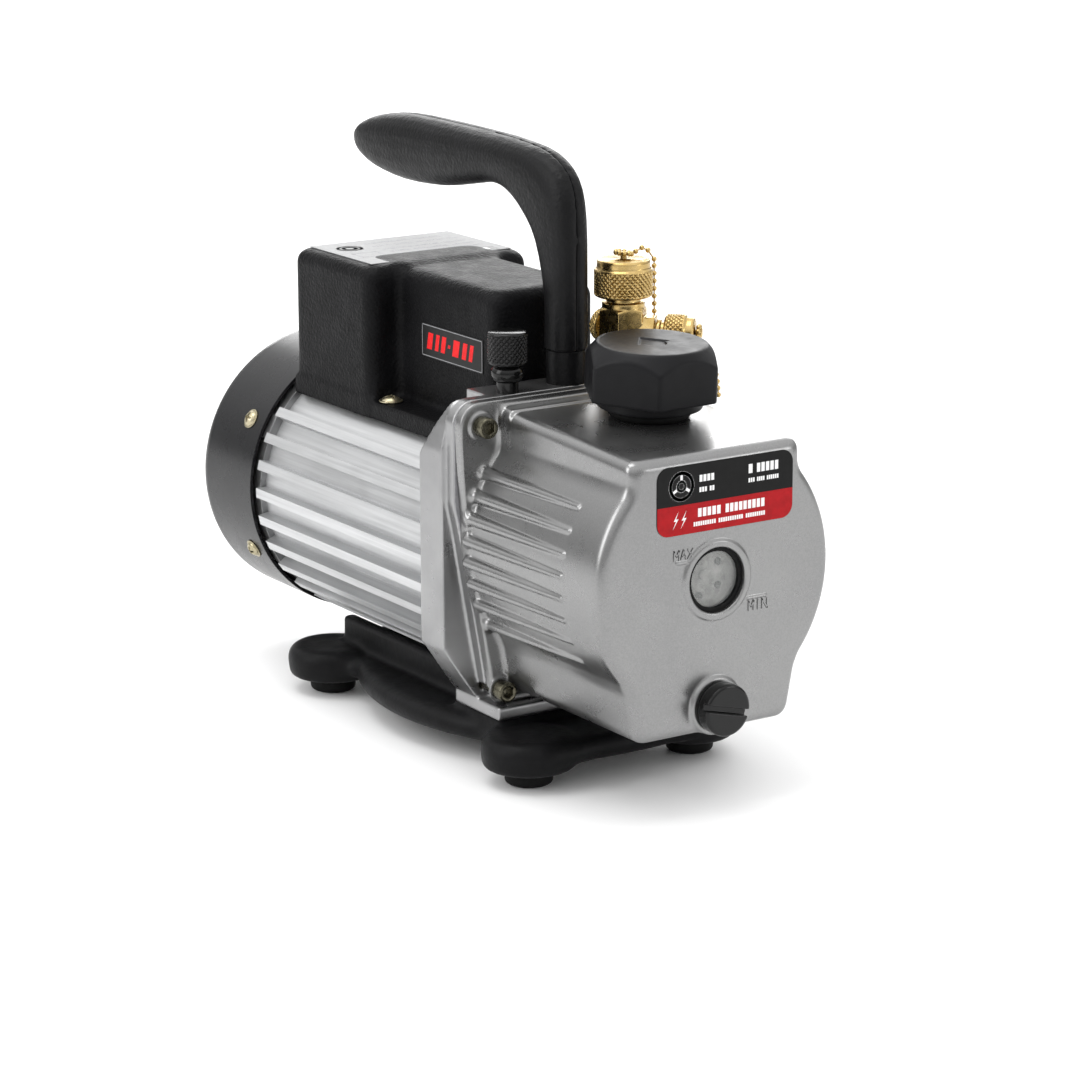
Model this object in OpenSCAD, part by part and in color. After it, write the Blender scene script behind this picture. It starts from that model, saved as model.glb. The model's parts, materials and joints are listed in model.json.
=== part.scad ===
// Portable single-stage rotary vane vacuum pump with a flange-mounted motor.
// Millimetres. +Z up, front (oil cover) towards -Y, feet on z = 0,
// origin under the middle of the bounding box.

/* [Motor] */
// Height of the shaft centre above the floor
axis_z = 75; // [74:0.5:77]
// Outside radius over the cooling fins
fin_tip_r = 53; // [52:0.5:53.5]
// Outside radius of the extruded motor shell between fins
shell_r = 48.6; // [48:0.2:49.5]
// Bore radius of the motor shell
shell_bore_r = 44; // [43:0.5:45]
// Thickness of one cooling fin
fin_t = 3.8; // [2.5:0.1:4.5]
// Angle between neighbouring fins
fin_pitch = 12; // [12:3:15]
// Front end of the motor shell along Y
shell_y0 = -27.5; // [-29:0.5:-26]
// Rear end of the motor shell along Y
shell_y1 = 96; // [94:0.5:97]
// Radius of the motor shaft
shaft_r = 6; // [5:0.5:6]

/* [Fan cover] */
// Outside radius of the fan cover
cowl_r = 53.7; // [53:0.1:54.2]
// Front rim of the fan cover along Y
cowl_y0 = 99.5; // [98:0.5:101]
// Rear face of the fan cover along Y
cowl_y1 = 141.5; // [139:0.5:143]
// Sheet thickness of the fan cover
cowl_t = 1.2; // [1:0.1:1.5]

/* [Oil cover] */
// Front face of the oil cover along Y
cover_y0 = -133.5; // [-136:0.5:-131]
// Front face of the bolted flange along Y
flange_y0 = -52.7; // [-54:0.1:-52]
// Wall thickness of the oil cover
cover_wall = 3.6; // [3:0.1:4]
// Half width of the oil cover at its flat top
cover_top_w = 36; // [34:0.5:37]
// Height of the oil cover's top at the flange
cover_top_z = 133.5; // [132:0.5:134.5]
// Forward slope of the oil cover's top in degrees
cover_slope = 3.1; // [2.5:0.1:3.5]
// Radius of the barrel-shaped sides
cover_barrel_r = 51.7; // [51:0.1:52.5]
// Number of stiffening ribs on each side
rib_count = 8; // [4:1:8]

/* [Bell housing] */
// Height of the machined top face that carries the handle and ports
deck_z = 136.9; // [135:0.1:138]
// Half width of the flange
flange_w = 52.5; // [51:0.5:53.5]
// Half width of the bell behind the flange
bell_w = 54.4; // [54:0.1:55]

/* [Sight glass and plugs] */
// Height of the sight glass centre
sight_z = 84; // [82:0.5:86]
// Radius of the sight glass opening
sight_r = 11.6; // [10:0.1:12]
// Height of the drain plug centre
drain_z = 39; // [38:0.5:40]
// Head radius of the drain plug
drain_r = 9.3; // [8:0.1:9.5]
// Oil fill cap centre along X
cap_x = 6.3; // [0:0.1:8]
// Oil fill cap centre along Y
cap_y = -83.8; // [-90:0.1:-80]
// Corner radius of the hexagonal oil fill cap
cap_r = 25.4; // [23:0.1:26]

/* [Base] */
// Half spacing of the feet across
foot_x = 35.3; // [33:0.1:37]
// Half spacing of the feet along
foot_y = 69.5; // [67:0.5:72]
// Radius of one rubber foot
foot_r = 8.8; // [8:0.1:10]
// Radius of the round pad over each foot
pad_r = 16.6; // [15:0.1:17]
// Top of the moulded base
base_z1 = 17; // [16:0.5:18]

/* [Handle] */
// Centre of the handle's post along Y
post_y = -40.5; // [-42:0.5:-40]
// Half width of the grip
grip_w = 9; // [8:0.5:10]

/* [Ports] */
// Intake tree position along X
intake_x = 24; // [23:0.5:25]
// Intake tree position along Y
intake_y = -42; // [-43:0.5:-41]
// Radius of the knurled cap on the large intake port
big_cap_r = 10.7; // [10:0.1:11]
// Radius of the knurled caps on the small intake ports
small_cap_r = 6.4; // [6:0.1:7]
// Gas ballast knob position along X
ballast_x = -27; // [-28:0.5:-26]
// Gas ballast knob position along Y
ballast_y = -43.5; // [-43.5:0.5:-42]

/* [Electrical box] */
// Half width of the wide rear part of the box
box_w = 35.5; // [34:0.5:37]
// Half width of the narrow front part of the box
box_nose_w = 22; // [20:0.5:23]
// Top of the box
box_z1 = 170; // [168:0.5:172]
// Rear face of the box along Y
box_y1 = 95; // [93:0.5:96]
// Front face of the wide part along Y
box_y_step = 37.5; // [36:0.5:39]
// Front face of the narrow part along Y
box_y0 = -27.4; // [-27.4:0.2:-26]

/* [Hidden] */
$fn = 64;
gap = 0.02;                                // overshoot of cutting shapes
gasket_t = 0.5;
cover_flange_t = 4.5;
gasket_y = flange_y0 + cover_flange_t;     // rear face of the cover flange
bell_y0 = gasket_y + gasket_t;             // front face of the bell
boss_y = bell_y0 - 6;                      // face that carries the pump block
bell_y1 = shell_y0;
deck_y1 = -30.5;
bell_slope = 55.2;                         // slope of the bell's rear shoulder
web_y1 = -36;                              // rear face of the bell's web
bearing_w = 10;
bearing_r = 16;
seal_r = 11;
pump_r = 30;                               // outside radius of the pump block
pump_len = 20;
pump_bore_r = 22.3;
pump_offset = 3;                           // bore centre above the shaft centre
rotor_r = 19;
pump_y0 = boss_y - pump_len;               // front face of the pump block
plate_t = 8;
vane_t = 3;
vane_h = 9;
shield_t = 8;                              // rear end shield plate
shield_y1 = shell_y1 + shield_t;
rear_bearing_y = shell_y1 + 2;              // front face of the rear bearing
fan_y0 = 119;
fan_y1 = 134;
cap_z = cover_top_z - (flange_y0 - cap_y) * tan(cover_slope);
cowl_screw_y = 109.5;
cowl_screw_a = [29, 151, 209, 331];        // angles from the horizontal
foot_top = 6;
pedestal_z = 20;
flange_z0 = 25;
screw_at = [[44, 128.4], [36.6, 30.6]];    // cover screws, right-hand half
intake_z = 153.5;                          // axis of the small ports
tee_z0 = deck_z + 4;
tee_z1 = 163;
tee_turn = -15;                            // turn of the tee's hexagon, one flat faces the side port
stator_y0 = 2;
stator_y1 = 62;
stator_bore_r = 22;
slot_count = 12;
through_bolt_r = 40.5;                     // pitch radius of the motor's long bolts
top_cap_z = 166;                           // lower rim of the large flare cap
top_band = 10;                             // knurled length of the large flare cap
top_crown = 3.6;
side_cap_at = 15.5;                        // open end of the side cap from the tee's axis
side_band = 7.5;
side_crown = 3.4;
rear_cap_at = 9.15;                        // open end of the rear cap from the tee's axis
chain_bead_r = 1.1;
top_stud_z = top_cap_z + top_band + top_crown + 0.8;  // neck of the stud on the large cap
chain_a = -8;                              // direction in plan in which the top chain hangs
chain_end_z = 147;
hang_r = big_cap_r + 1.9;
side_tip = [intake_x, intake_y, intake_z] + 27.4 * [cos(45), -sin(45), 0];
ledge_z = 120;                             // top of the box's ledge
skirt_z = 113;                             // lower edge of the box
box_wall = 2.5;
box_screw_x = 29.5;
box_screw_y = 32.8;
rocker_tilt = 9;
handle_steps = 3;
handle_sides = 20;

// Stations along the handle: inner edge y, z, outer edge y, z, half width
handle_path = [
    [-33, 149, -48, 149, 7.3],
    [-33, 168, -48, 172, 7.3],
    [-26.5, 186, -48, 198, 7.6],
    [-17.5, 195.7, -43.5, 211.5, 7.9],
    [-7.5, 202, -30.5, 218.8, 8.3],
    [2.5, 203.6, -10.5, 221.2, 8.7],
    [15.5, 201.5, 9.5, 222, grip_w],
    [37.5, 197.8, 37.5, 222.4, grip_w],
    [63.5, 196.8, 63.5, 222.2, grip_w],
    [83.5, 199, 81.5, 220, grip_w - 0.4],
    [95.5, 203, 93.5, 216.5, grip_w - 2],
    [102, 207.3, 101.5, 212.5, grip_w - 5.4]
];

// ---------- helpers ----------

// Places a child drawn along +Z so that it runs towards +Y from y
module along_y(y, x = 0, z = axis_z) {
    translate([x, y, z]) rotate([-90, 0, 0]) children();
}

// Plate drawn in the XZ plane that fills y0 to y1
module plate(y0, y1) {
    translate([0, y1, 0]) rotate([90, 0, 0]) linear_extrude(y1 - y0) children();
}

// Both signs of x
module both_sides() {
    children();
    mirror([1, 0, 0]) children();
}

// Rounds the convex corners of a 2D shape
module soften(r) {
    offset(r = r, $fn = 32) offset(delta = -r) children();
}

// Socket head cap screw along +Z with its head below z = 0
module cap_screw(r, length, head_r, head_h) {
    difference() {
        union() {
            translate([0, 0, -head_h]) cylinder(r = head_r, h = head_h);
            cylinder(r = r, h = length);
        }
        translate([0, 0, -head_h - gap]) cylinder(r = head_r * 0.58, h = head_h * 0.55, $fn = 6);
    }
}

// Pan head screw along -Z with its head above z = 0 and a cross recess
module pan_screw(r, length, head_r) {
    difference() {
        union() {
            rotate_extrude() polygon([[0, 0], [head_r, 0], [head_r, 0.8], [head_r * 0.7, 1.9], [0, 2.3]]);
            translate([0, 0, -length]) cylinder(r = r, h = length);
        }
        for (a = [0, 90])
            rotate([0, 0, a]) translate([-head_r * 0.55, -0.35, 1.1]) cube([head_r * 1.1, 0.7, 2]);
    }
}

// ---------- base ----------

module base_outline() {
    offset(r = -7, $fn = 48) offset(r = 7, $fn = 48) {
        for (x = [-foot_x, foot_x], y = [-foot_y, foot_y])
            translate([x, y]) circle(pad_r);
        intersection() {
            translate([52, 0]) circle(101.5, $fn = 180);
            translate([-52, 0]) circle(101.5, $fn = 180);
            square([200, 156], center = true);
        }
        intersection() {
            translate([0, 70]) circle(156, $fn = 180);
            translate([0, -70]) circle(156, $fn = 180);
            square([2 * foot_x, 200], center = true);
        }
    }
}

module base() {
    color("#1d1d1f") difference() {
        union() {
            translate([0, 0, foot_top + 2]) linear_extrude(base_z1 - foot_top - 2) base_outline();
            for (x = [-foot_x, foot_x], y = [-foot_y, foot_y])
                translate([x, y, foot_top]) cylinder(r = pad_r, h = base_z1 + 1 - foot_top);
            translate([-38, -57.5, base_z1 - 1]) cube([76, 34, pedestal_z - base_z1 + 1]);
            both_sides() translate([24.5, -24, base_z1 - 1]) cube([5, 95, 12]);
            translate([-27, 66, base_z1 - 1]) cube([54, 5, 4]);
        }
        for (x = [-foot_x, foot_x], y = [-foot_y, foot_y])
            translate([x, y, foot_top - gap]) cylinder(r = 2, h = 8);
        for (x = [-25, 25]) {
            translate([x, -46, 0]) cylinder(r = 3, h = 40);
            translate([x, -46, 0]) cylinder(r = 6, h = 13);
        }
    }
}

module rubber_feet() {
    color("#111111") for (x = [-foot_x, foot_x], y = [-foot_y, foot_y]) translate([x, y, 0]) difference() {
        rotate_extrude() polygon([
            [0, 0], [foot_r - 1.2, 0], [foot_r - 0.3, 0.6], [foot_r, 1.6], [foot_r, foot_top], [0, foot_top]
        ]);
        translate([0, 0, -gap]) cylinder(r = 4.6, h = 3.5 + gap);
        cylinder(r = 2, h = 10);
    }
}

module foot_screws() {
    color("silver") for (x = [-foot_x, foot_x], y = [-foot_y, foot_y]) translate([x, y, 3.5])
        mirror([0, 0, 1]) pan_screw(2, 9, 4);
}

module base_bolts() {
    color("silver") for (x = [-25, 25]) translate([x, -46, 13]) cap_screw(3, 10.5, 5, 5);
}

// ---------- motor ----------

module motor_shell() {
    color("#c9ccd0") difference() {
        union() {
            along_y(shell_y0) cylinder(r = shell_r, h = shell_y1 - shell_y0, $fn = 128);
            for (a = [0 : fin_pitch : 359])
                if (a < 42 || a > 138)
                    translate([0, shell_y0, axis_z]) rotate([0, -a, 0])
                        translate([shell_r - 2, 0, -fin_t / 2])
                            cube([fin_tip_r - shell_r + 2, shell_y1 - shell_y0, fin_t]);
        }
        along_y(shell_y0 - gap) cylinder(r = shell_bore_r, h = shell_y1 - shell_y0 + 1, $fn = 128);
    }
}

module stator_slots(count, r0, r1, w) {
    for (i = [0 : count - 1])
        rotate(i * 360 / count) translate([r0, -w / 2]) square([r1 - r0, w]);
}

module stator_core() {
    color("#5b5e63") along_y(stator_y0) linear_extrude(stator_y1 - stator_y0) difference() {
        circle(shell_bore_r);
        circle(stator_bore_r);
        stator_slots(slot_count, stator_bore_r - 1, 36, 5);
        for (a = [45 : 90 : 359]) rotate(a) translate([through_bolt_r, 0]) circle(2.2, $fn = 32);
    }
}

module stator_windings() {
    color("#b5652b") {
        along_y(stator_y0) linear_extrude(stator_y1 - stator_y0)
            stator_slots(slot_count, stator_bore_r + 2, 35.5, 4.4);
        for (y = [stator_y0 - 14, stator_y1])
            along_y(y) rotate_extrude() translate([24, 0]) square([11.5, 14]);
    }
}

module through_bolts() {
    color("silver") for (a = [45 : 90 : 359])
        translate([0, 0, axis_z]) rotate([0, a, 0]) translate([through_bolt_r, shield_y1, 0])
            rotate([90, 0, 0])
            cap_screw(2, shield_y1 - web_y1 + 6, 3.5, 4);
}

module motor_shaft() {
    color("#b9bcc0") difference() {
        union() {
            along_y(boss_y - 14) cylinder(r = shaft_r, h = fan_y1 + 2 - boss_y + 14);
            along_y(web_y1) cylinder(r = shaft_r + 2, h = rear_bearing_y - web_y1);
        }
        translate([shaft_r - 2, boss_y - 13, axis_z - 1.5]) cube([3, 11, 3]);
    }
}

module shaft_key() {
    color("#888888") translate([shaft_r - 2, boss_y - 13, axis_z - 1.5]) cube([3.5, 11, 3]);
}

module motor_rotor_core() {
    color("#8a8d92") difference() {
        union() {
            along_y(stator_y0) cylinder(r = stator_bore_r - 0.5, h = stator_y1 - stator_y0);
            along_y(stator_y0 - 6) cylinder(r = stator_bore_r - 2, h = stator_y1 - stator_y0 + 12);
        }
        along_y(stator_y0 - 7) cylinder(r = shaft_r + 2, h = stator_y1 - stator_y0 + 14);
    }
}

module cooling_fan() {
    color("#222222") difference() {
        union() {
            along_y(fan_y0) cylinder(r = 11, h = fan_y1 - fan_y0);
            along_y(fan_y0) cylinder(r = 44, h = 1.6);
            for (i = [0 : 7]) translate([0, fan_y0 + 0.8, axis_z]) rotate([0, i * 45, 0])
                translate([9, 0, -0.9]) cube([34.2, fan_y1 - fan_y0 - 1.5, 1.8]);
        }
        along_y(fan_y0 - gap) cylinder(r = shaft_r, h = 20);
    }
}

// ---------- motor housings ----------

module flange_outline() {
    soften(9) polygon([
        [-flange_w, deck_z], [-flange_w, 100], [-49.9, 88], [-38.5, flange_z0],
        [38.5, flange_z0], [49.9, 88], [flange_w, 100], [flange_w, deck_z]
    ]);
}

module bell_outline() {
    soften(5) polygon([
        [-bell_w, 118], [-bell_w, 46], [-40, flange_z0], [40, flange_z0], [bell_w, 46], [bell_w, 118],
        [flange_w, 128], [flange_w - 3, deck_z], [3 - flange_w, deck_z], [-flange_w, 128]
    ]);
}

module screw_holes(r) {
    for (s = [-1, 1], p = screw_at)
        translate([s * p[0], 0, p[1]]) rotate([90, 0, 0]) cylinder(r = r, h = 200, center = true);
}

module bell_housing() {
    color("#b4b7ba") difference() {
        union() {
            plate(bell_y0, bell_y0 + 5) flange_outline();
            difference() {
                plate(bell_y0 + 5, bell_y1) bell_outline();
                translate([-60, bell_y0 + 5, deck_z]) rotate([-bell_slope, 0, 0]) cube([120, 60, 60]);
            }
            translate([-36, bell_y0 + 1, 110]) cube([72, deck_y1 - bell_y0 - 1, deck_z - 110]);
            translate([-40, -57.5, pedestal_z]) cube([80, 30, flange_z0 - pedestal_z]);
            both_sides() translate([34, bell_y0 + 5, pedestal_z]) cube([6, 15, 12]);
            along_y(boss_y) cylinder(r = pump_r, h = 10);
        }
        along_y(web_y1) cylinder(r = 43, h = 20);
        along_y(web_y1 - bearing_w) cylinder(r = bearing_r, h = 20);
        along_y(boss_y - 1) cylinder(r = seal_r, h = 7.2);
        along_y(boss_y - 1) cylinder(r = shaft_r + 2, h = 20);
        for (s = [-1, 1], p = screw_at)
            translate([s * p[0], bell_y0 - 1, p[1]]) rotate([-90, 0, 0]) cylinder(r = 2.5, h = 11);
        for (a = [30 : 60 : 359]) pump_screw_place(a) translate([0, 0, -9]) cylinder(r = 2, h = 12);
        for (x = [-25, 25]) translate([x, -46, pedestal_z - 1]) cylinder(r = 3, h = 5.6);
        for (a = [45 : 90 : 359])
            translate([0, 0, axis_z]) rotate([0, a, 0]) translate([through_bolt_r, web_y1 - 6.2, 0])
                rotate([-90, 0, 0])
                cylinder(r = 2, h = 10);
        translate([intake_x, intake_y, 100]) cylinder(r = 5.5, h = 50);
        translate([ballast_x, ballast_y, 110]) cylinder(r = 2, h = 30);
        translate([0, post_y, 105]) cylinder(r = 4, h = 40);
    }
}

module pump_screw_place(a) {
    translate([0, boss_y, axis_z]) rotate([0, a, 0]) translate([26, 0, 0]) rotate([90, 0, 0]) children();
}

module rear_end_shield() {
    color("#a9acaf") difference() {
        union() {
            along_y(shell_y1) cylinder(r = 51, h = shield_t);
            along_y(shell_y1) cylinder(r = 21, h = 14);
            for (a = cowl_screw_a) translate([0, shell_y1, axis_z]) rotate([0, -a, 0])
                translate([46, 0, -5]) cube([5.8, 18, 10]);
        }
        along_y(rear_bearing_y) cylinder(r = bearing_r, h = bearing_w);
        along_y(shell_y1 - 1) cylinder(r = shaft_r + 3, h = 40);
        for (a = [45 : 90 : 359]) translate([0, shell_y1 - 1, axis_z]) rotate([0, a, 0])
            translate([through_bolt_r, 0, 0]) rotate([-90, 0, 0]) cylinder(r = 2.1, h = 30);
        for (a = [0 : 30 : 359]) if (a % 90 != 0) translate([0, shell_y1 - 1, axis_z]) rotate([0, a, 0])
            translate([31, 0, 0]) rotate([-90, 0, 0]) cylinder(r = 4.5, h = 30);
        for (a = cowl_screw_a) translate([0, cowl_screw_y, axis_z]) rotate([0, -a, 0])
            translate([44, 0, 0]) rotate([0, 90, 0]) cylinder(r = 1.9, h = 12);
    }
}

module bearing(y) {
    color("#c8cbd0") along_y(y) rotate_extrude() difference() {
        translate([shaft_r + 0.05, 0]) square([bearing_r - shaft_r - 0.05, bearing_w]);
        for (v = [-gap, bearing_w - 1 + gap]) translate([shaft_r + 3.2, v]) square([3.4, 1]);
    }
}

module front_bearing() {
    bearing(web_y1 - bearing_w);
}

module rear_bearing() {
    bearing(rear_bearing_y);
}

module shaft_seal() {
    color("#2b1a12") along_y(boss_y) rotate_extrude() polygon([
        [shaft_r + 0.08, 2], [shaft_r + 2.4, 2], [shaft_r + 2.4, 0], [seal_r, 0], [seal_r, 6.2],
        [shaft_r + 1, 6.2], [shaft_r + 0.08, 3.4]
    ]);
}

module fan_cover() {
    round_r = 7;
    color("#161616") difference() {
        along_y(cowl_y0) rotate_extrude($fn = 128) difference() {
            union() {
                square([cowl_r, cowl_y1 - cowl_y0 - round_r]);
                square([cowl_r - round_r, cowl_y1 - cowl_y0]);
                translate([cowl_r - round_r, cowl_y1 - cowl_y0 - round_r]) circle(round_r);
            }
            translate([-1, -1]) square([cowl_r - cowl_t + 1, cowl_y1 - cowl_y0 - round_r + 1]);
            translate([-1, -1]) square([cowl_r - round_r + 1, cowl_y1 - cowl_y0 - cowl_t + 1]);
            translate([cowl_r - round_r, cowl_y1 - cowl_y0 - round_r]) circle(round_r - cowl_t);
        }
        for (ring = [[0, 1], [11, 6], [20, 12], [29, 18], [38, 24]], i = [0 : ring[1] - 1])
            translate([0, cowl_y1 - 4, axis_z]) rotate([0, i * 360 / ring[1], 0]) translate([ring[0], 0, 0])
                rotate([-90, 0, 0]) cylinder(r = 2.7, h = 8, $fn = 24);
        for (a = cowl_screw_a) translate([0, cowl_screw_y, axis_z]) rotate([0, -a, 0])
            translate([48, 0, 0]) rotate([0, 90, 0]) cylinder(r = 2.1, h = 12);
    }
}

module fan_cover_screws() {
    color("#b9b08a") for (a = cowl_screw_a) translate([0, cowl_screw_y, axis_z]) rotate([0, -a, 0])
        translate([cowl_r, 0, 0]) rotate([0, 90, 0]) pan_screw(1.9, 7, 3.6);
}

// ---------- pump ----------

module pump_cylinder() {
    color("#6d6f72") difference() {
        union() {
            along_y(pump_y0) cylinder(r = pump_r, h = pump_len);
            translate([-13, pump_y0, axis_z + 20]) cube([26, pump_len, 14]);
        }
        along_y(pump_y0 - gap, z = axis_z + pump_offset) cylinder(r = pump_bore_r, h = pump_len + 1);
        for (a = [30 : 60 : 359]) pump_screw_place(a) translate([0, 0, -1]) cylinder(r = 2, h = 40);
        for (x = [-7, 7]) translate([x, pump_y0 + pump_len / 2, axis_z + 15]) cylinder(r = 2, h = 30);
    }
}

module pump_end_plate() {
    color("#7b7d80") difference() {
        along_y(pump_y0 - plate_t) cylinder(r = pump_r, h = plate_t);
        along_y(pump_y0 - plate_t - 1) cylinder(r = shaft_r + 0.05, h = 20);
        for (a = [30 : 60 : 359]) pump_screw_place(a) cylinder(r = 2, h = 60);
    }
}

module pump_screws() {
    color("#3c3c3e") for (a = [30 : 60 : 359]) pump_screw_place(a)
        translate([0, 0, pump_len + plate_t]) mirror([0, 0, 1]) cap_screw(2, 36, 3.5, 4);
}

module pump_rotor() {
    color("#9a9da1") difference() {
        union() {
            along_y(pump_y0 + 0.2) cylinder(r = rotor_r, h = pump_len - 0.4);
            along_y(pump_y0 - plate_t) cylinder(r = shaft_r, h = plate_t + 1);
        }
        along_y(boss_y - 14) cylinder(r = shaft_r, h = 20);
        for (s = [0, 180]) translate([0, pump_y0, axis_z]) rotate([0, 90 + s, 0]) {
            translate([rotor_r - vane_h - 0.6, 0, -vane_t / 2]) cube([vane_h + 3, pump_len + 1, vane_t]);
            for (y = [5, 15]) translate([rotor_r - vane_h - 2.6, y, 0]) rotate([0, 90, 0])
                cylinder(r = 1.2, h = 4);
        }
        translate([shaft_r - 2, boss_y - 13, axis_z - 1.5]) cube([3.5, 30, 3]);
    }
}

module vanes() {
    color("#3a3430") for (s = [0, 180]) translate([0, pump_y0 + 0.3, axis_z]) rotate([0, 90 + s, 0])
        translate([rotor_r - vane_h - 0.1, 0, -vane_t / 2 + 0.02])
            cube([vane_h, pump_len - 0.6, vane_t - 0.04]);
}

module vane_springs() {
    color("silver") for (s = [0, 180], y = [5, 15]) translate([0, pump_y0 + y, axis_z]) rotate([0, 90 + s, 0])
        translate([rotor_r - vane_h - 2.6, 0, 0]) rotate([0, 90, 0]) difference() {
            cylinder(r = 1.1, h = 2.5);
            translate([0, 0, -1]) cylinder(r = 0.6, h = 5);
        }
}

module exhaust_valve() {
    color("#c0c3c8") difference() {
        translate([-12, pump_y0 + 4, axis_z + 34]) cube([24, 12, 0.4]);
        for (x = [-10, 10]) translate([x, pump_y0 + 10, axis_z + 30]) cylinder(r = 1, h = 8);
    }
}

module valve_stop() {
    color("#9a9da1") {
        difference() {
            translate([-12, pump_y0 + 4, axis_z + 34.4]) cube([24, 12, 2.4]);
            translate([-8.5, pump_y0 + 3, axis_z + 34]) cube([17, 14, 1.4]);
        }
        for (x = [-10, 10]) translate([x, pump_y0 + 10, axis_z + 36.8]) cylinder(r = 1.7, h = 1.5);
    }
}

// ---------- oil cover ----------

// Right-hand side of the barrel as points from the bottom up
function barrel(n) = [for (i = [0 : n]) let (a = -41.8 + 83.6 * i / n)
    [cover_barrel_r * cos(a) - cover_barrel_r + 49.2, 84.5 + cover_barrel_r * sin(a)]];

module cover_outline() {
    soften(4) offset(r = -3, $fn = 32) offset(delta = 3) union() {
        side = barrel(24);
        polygon(concat(
            [[-32, 29.4], [32, 29.4]], side, [[cover_top_w, cover_top_z], [-cover_top_w, cover_top_z]],
            [for (i = [len(side) - 1 : -1 : 0]) [-side[i][0], side[i][1]]]
        ));
    }
}

module cover_cavity() {
    intersection() {
        offset(delta = -cover_wall) cover_outline();
        translate([-60, 0]) square([120, 125.4]);
    }
}

module oil_cover() {
    color("#c4c6c9") difference() {
        union() {
            difference() {
                plate(cover_y0, flange_y0 + 1) cover_outline();
                translate([0, flange_y0, cover_top_z]) rotate([cover_slope, 0, 0])
                    translate([-60, -150, 0]) cube([120, 160, 20]);
            }
            plate(flange_y0, gasket_y) flange_outline();
            for (s = [-1, 1], i = [0 : rib_count - 1]) {
                z = 111 - i * 7.85;
                x = cover_barrel_r * cos(asin((z - 84.5) / cover_barrel_r)) - cover_barrel_r + 49.2;
                translate([s * (x - 0.4), flange_y0, z]) rotate([90, 0, -s * 2.2])
                    cylinder(r = 2, h = 60, $fn = 20);
            }
            translate([0, cover_y0, sight_z]) rotate([90, 0, 0]) cylinder(r = 14.3, h = 0.8);
            translate([0, cover_y0, drain_z]) rotate([90, 0, 0]) cylinder(r = 10.4, h = 1.2);
            for (s = [-1, 1], p = screw_at)
                translate([s * p[0], flange_y0, p[1]]) rotate([90, 0, 0]) cylinder(r = 5, h = 0.7);
            translate([-17, cover_y0 - 0.5, 91.6]) cube([8.5, 1, 1]);
            translate([12.5, cover_y0 - 0.5, 75]) cube([8.5, 1, 1]);
        }
        plate(cover_y0 + 4, gasket_y + 1) cover_cavity();
        along_y(flange_y0, z = axis_z) cylinder(r = pump_r + 0.5, h = 20);
        screw_holes(2.6);
        for (s = [-1, 1]) translate([s * screw_at[1][0], flange_y0 - 7.7, screw_at[1][1]]) rotate([-90, 0, 0])
            cylinder(r = 5, h = 7);
        translate([0, cover_y0 - 2, sight_z]) rotate([-90, 0, 0]) cylinder(r = sight_r, h = 8);
        translate([0, cover_y0 - 2, drain_z]) rotate([-90, 0, 0]) cylinder(r = 6, h = 8);
        fill_place() translate([0, 0, -12]) cylinder(r = 12, h = 20);
    }
}

module cover_gasket() {
    color("#2c2c2c") difference() {
        plate(gasket_y, bell_y0) offset(delta = -0.4) flange_outline();
        plate(gasket_y - 1, bell_y0 + 1) cover_cavity();
        along_y(gasket_y - 1) cylinder(r = pump_r + 0.5, h = 3);
        screw_holes(2.6);
        translate([intake_x, intake_y, 100]) cylinder(r = 6, h = 50);
    }
}

module cover_screws() {
    color("#8c8772") for (s = [-1, 1], p = screw_at)
        translate([s * p[0], flange_y0 - 0.7, p[1]]) rotate([-90, 0, 0]) cap_screw(2.5, 14, 3.75, 5);
}

module sight_glass_seal() {
    color("#151515") translate([0, cover_y0 + 1, sight_z]) rotate([-90, 0, 0]) difference() {
        cylinder(r = sight_r, h = 1.2);
        translate([0, 0, -1]) cylinder(r = 10, h = 4);
    }
}

module sight_glass() {
    color("#dfe8ea", 0.6) translate([0, cover_y0 + 2.2, sight_z]) rotate([-90, 0, 0])
        cylinder(r = sight_r, h = 2.5);
}

module drain_seal() {
    color("#111111") translate([0, cover_y0 - 1.2, drain_z]) rotate([90, 0, 0]) difference() {
        cylinder(r = 8.4, h = 1);
        translate([0, 0, -1]) cylinder(r = 6.1, h = 4);
    }
}

module drain_plug() {
    color("#161616") translate([0, cover_y0 - 2.2, drain_z]) rotate([90, 0, 0]) difference() {
        union() {
            rotate_extrude() polygon([[0, 0], [drain_r, 0], [drain_r, 5], [drain_r - 0.8, 5.8], [0, 5.8]]);
            translate([0, 0, -8]) cylinder(r = 5.9, h = 9);
        }
        rotate([0, 0, -14]) translate([-12, -1.1, 3.2]) cube([24, 2.2, 4]);
    }
}

// Frame on the sloping top of the oil cover, under the fill cap
module fill_place() {
    translate([cap_x, cap_y, cap_z]) rotate([cover_slope, 0, 0]) children();
}

module fill_cap_seal() {
    color("#0d0d0d") fill_place() rotate_extrude() translate([12.9, 1.9]) circle(1.9, $fn = 32);
}

module oil_fill_cap() {
    hex_z = 7.5;
    hex_h = 12.5;
    cone_h = 6.6;
    color("#1a1b1e") fill_place() difference() {
        union() {
            translate([0, 0, -8]) cylinder(r = 10.8, h = 13);
            translate([0, 0, 3.8]) cylinder(r = 18.8, h = hex_z - 3.8);
            intersection() {
                rotate([0, 0, -57.7]) translate([0, 0, hex_z])
                    cylinder(r = cap_r, h = hex_h + cone_h, $fn = 6);
                translate([0, 0, hex_z]) rotate_extrude() polygon([
                    [0, 0], [cap_r + 1, 0], [cap_r + 1, hex_h - 1], [cap_r, hex_h],
                    [cap_r - 5.8, hex_h + cone_h], [0, hex_h + cone_h]
                ]);
            }
        }
        translate([0, 0, hex_z + hex_h + cone_h - 0.5]) drop_icon(4.2);
    }
}

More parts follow.
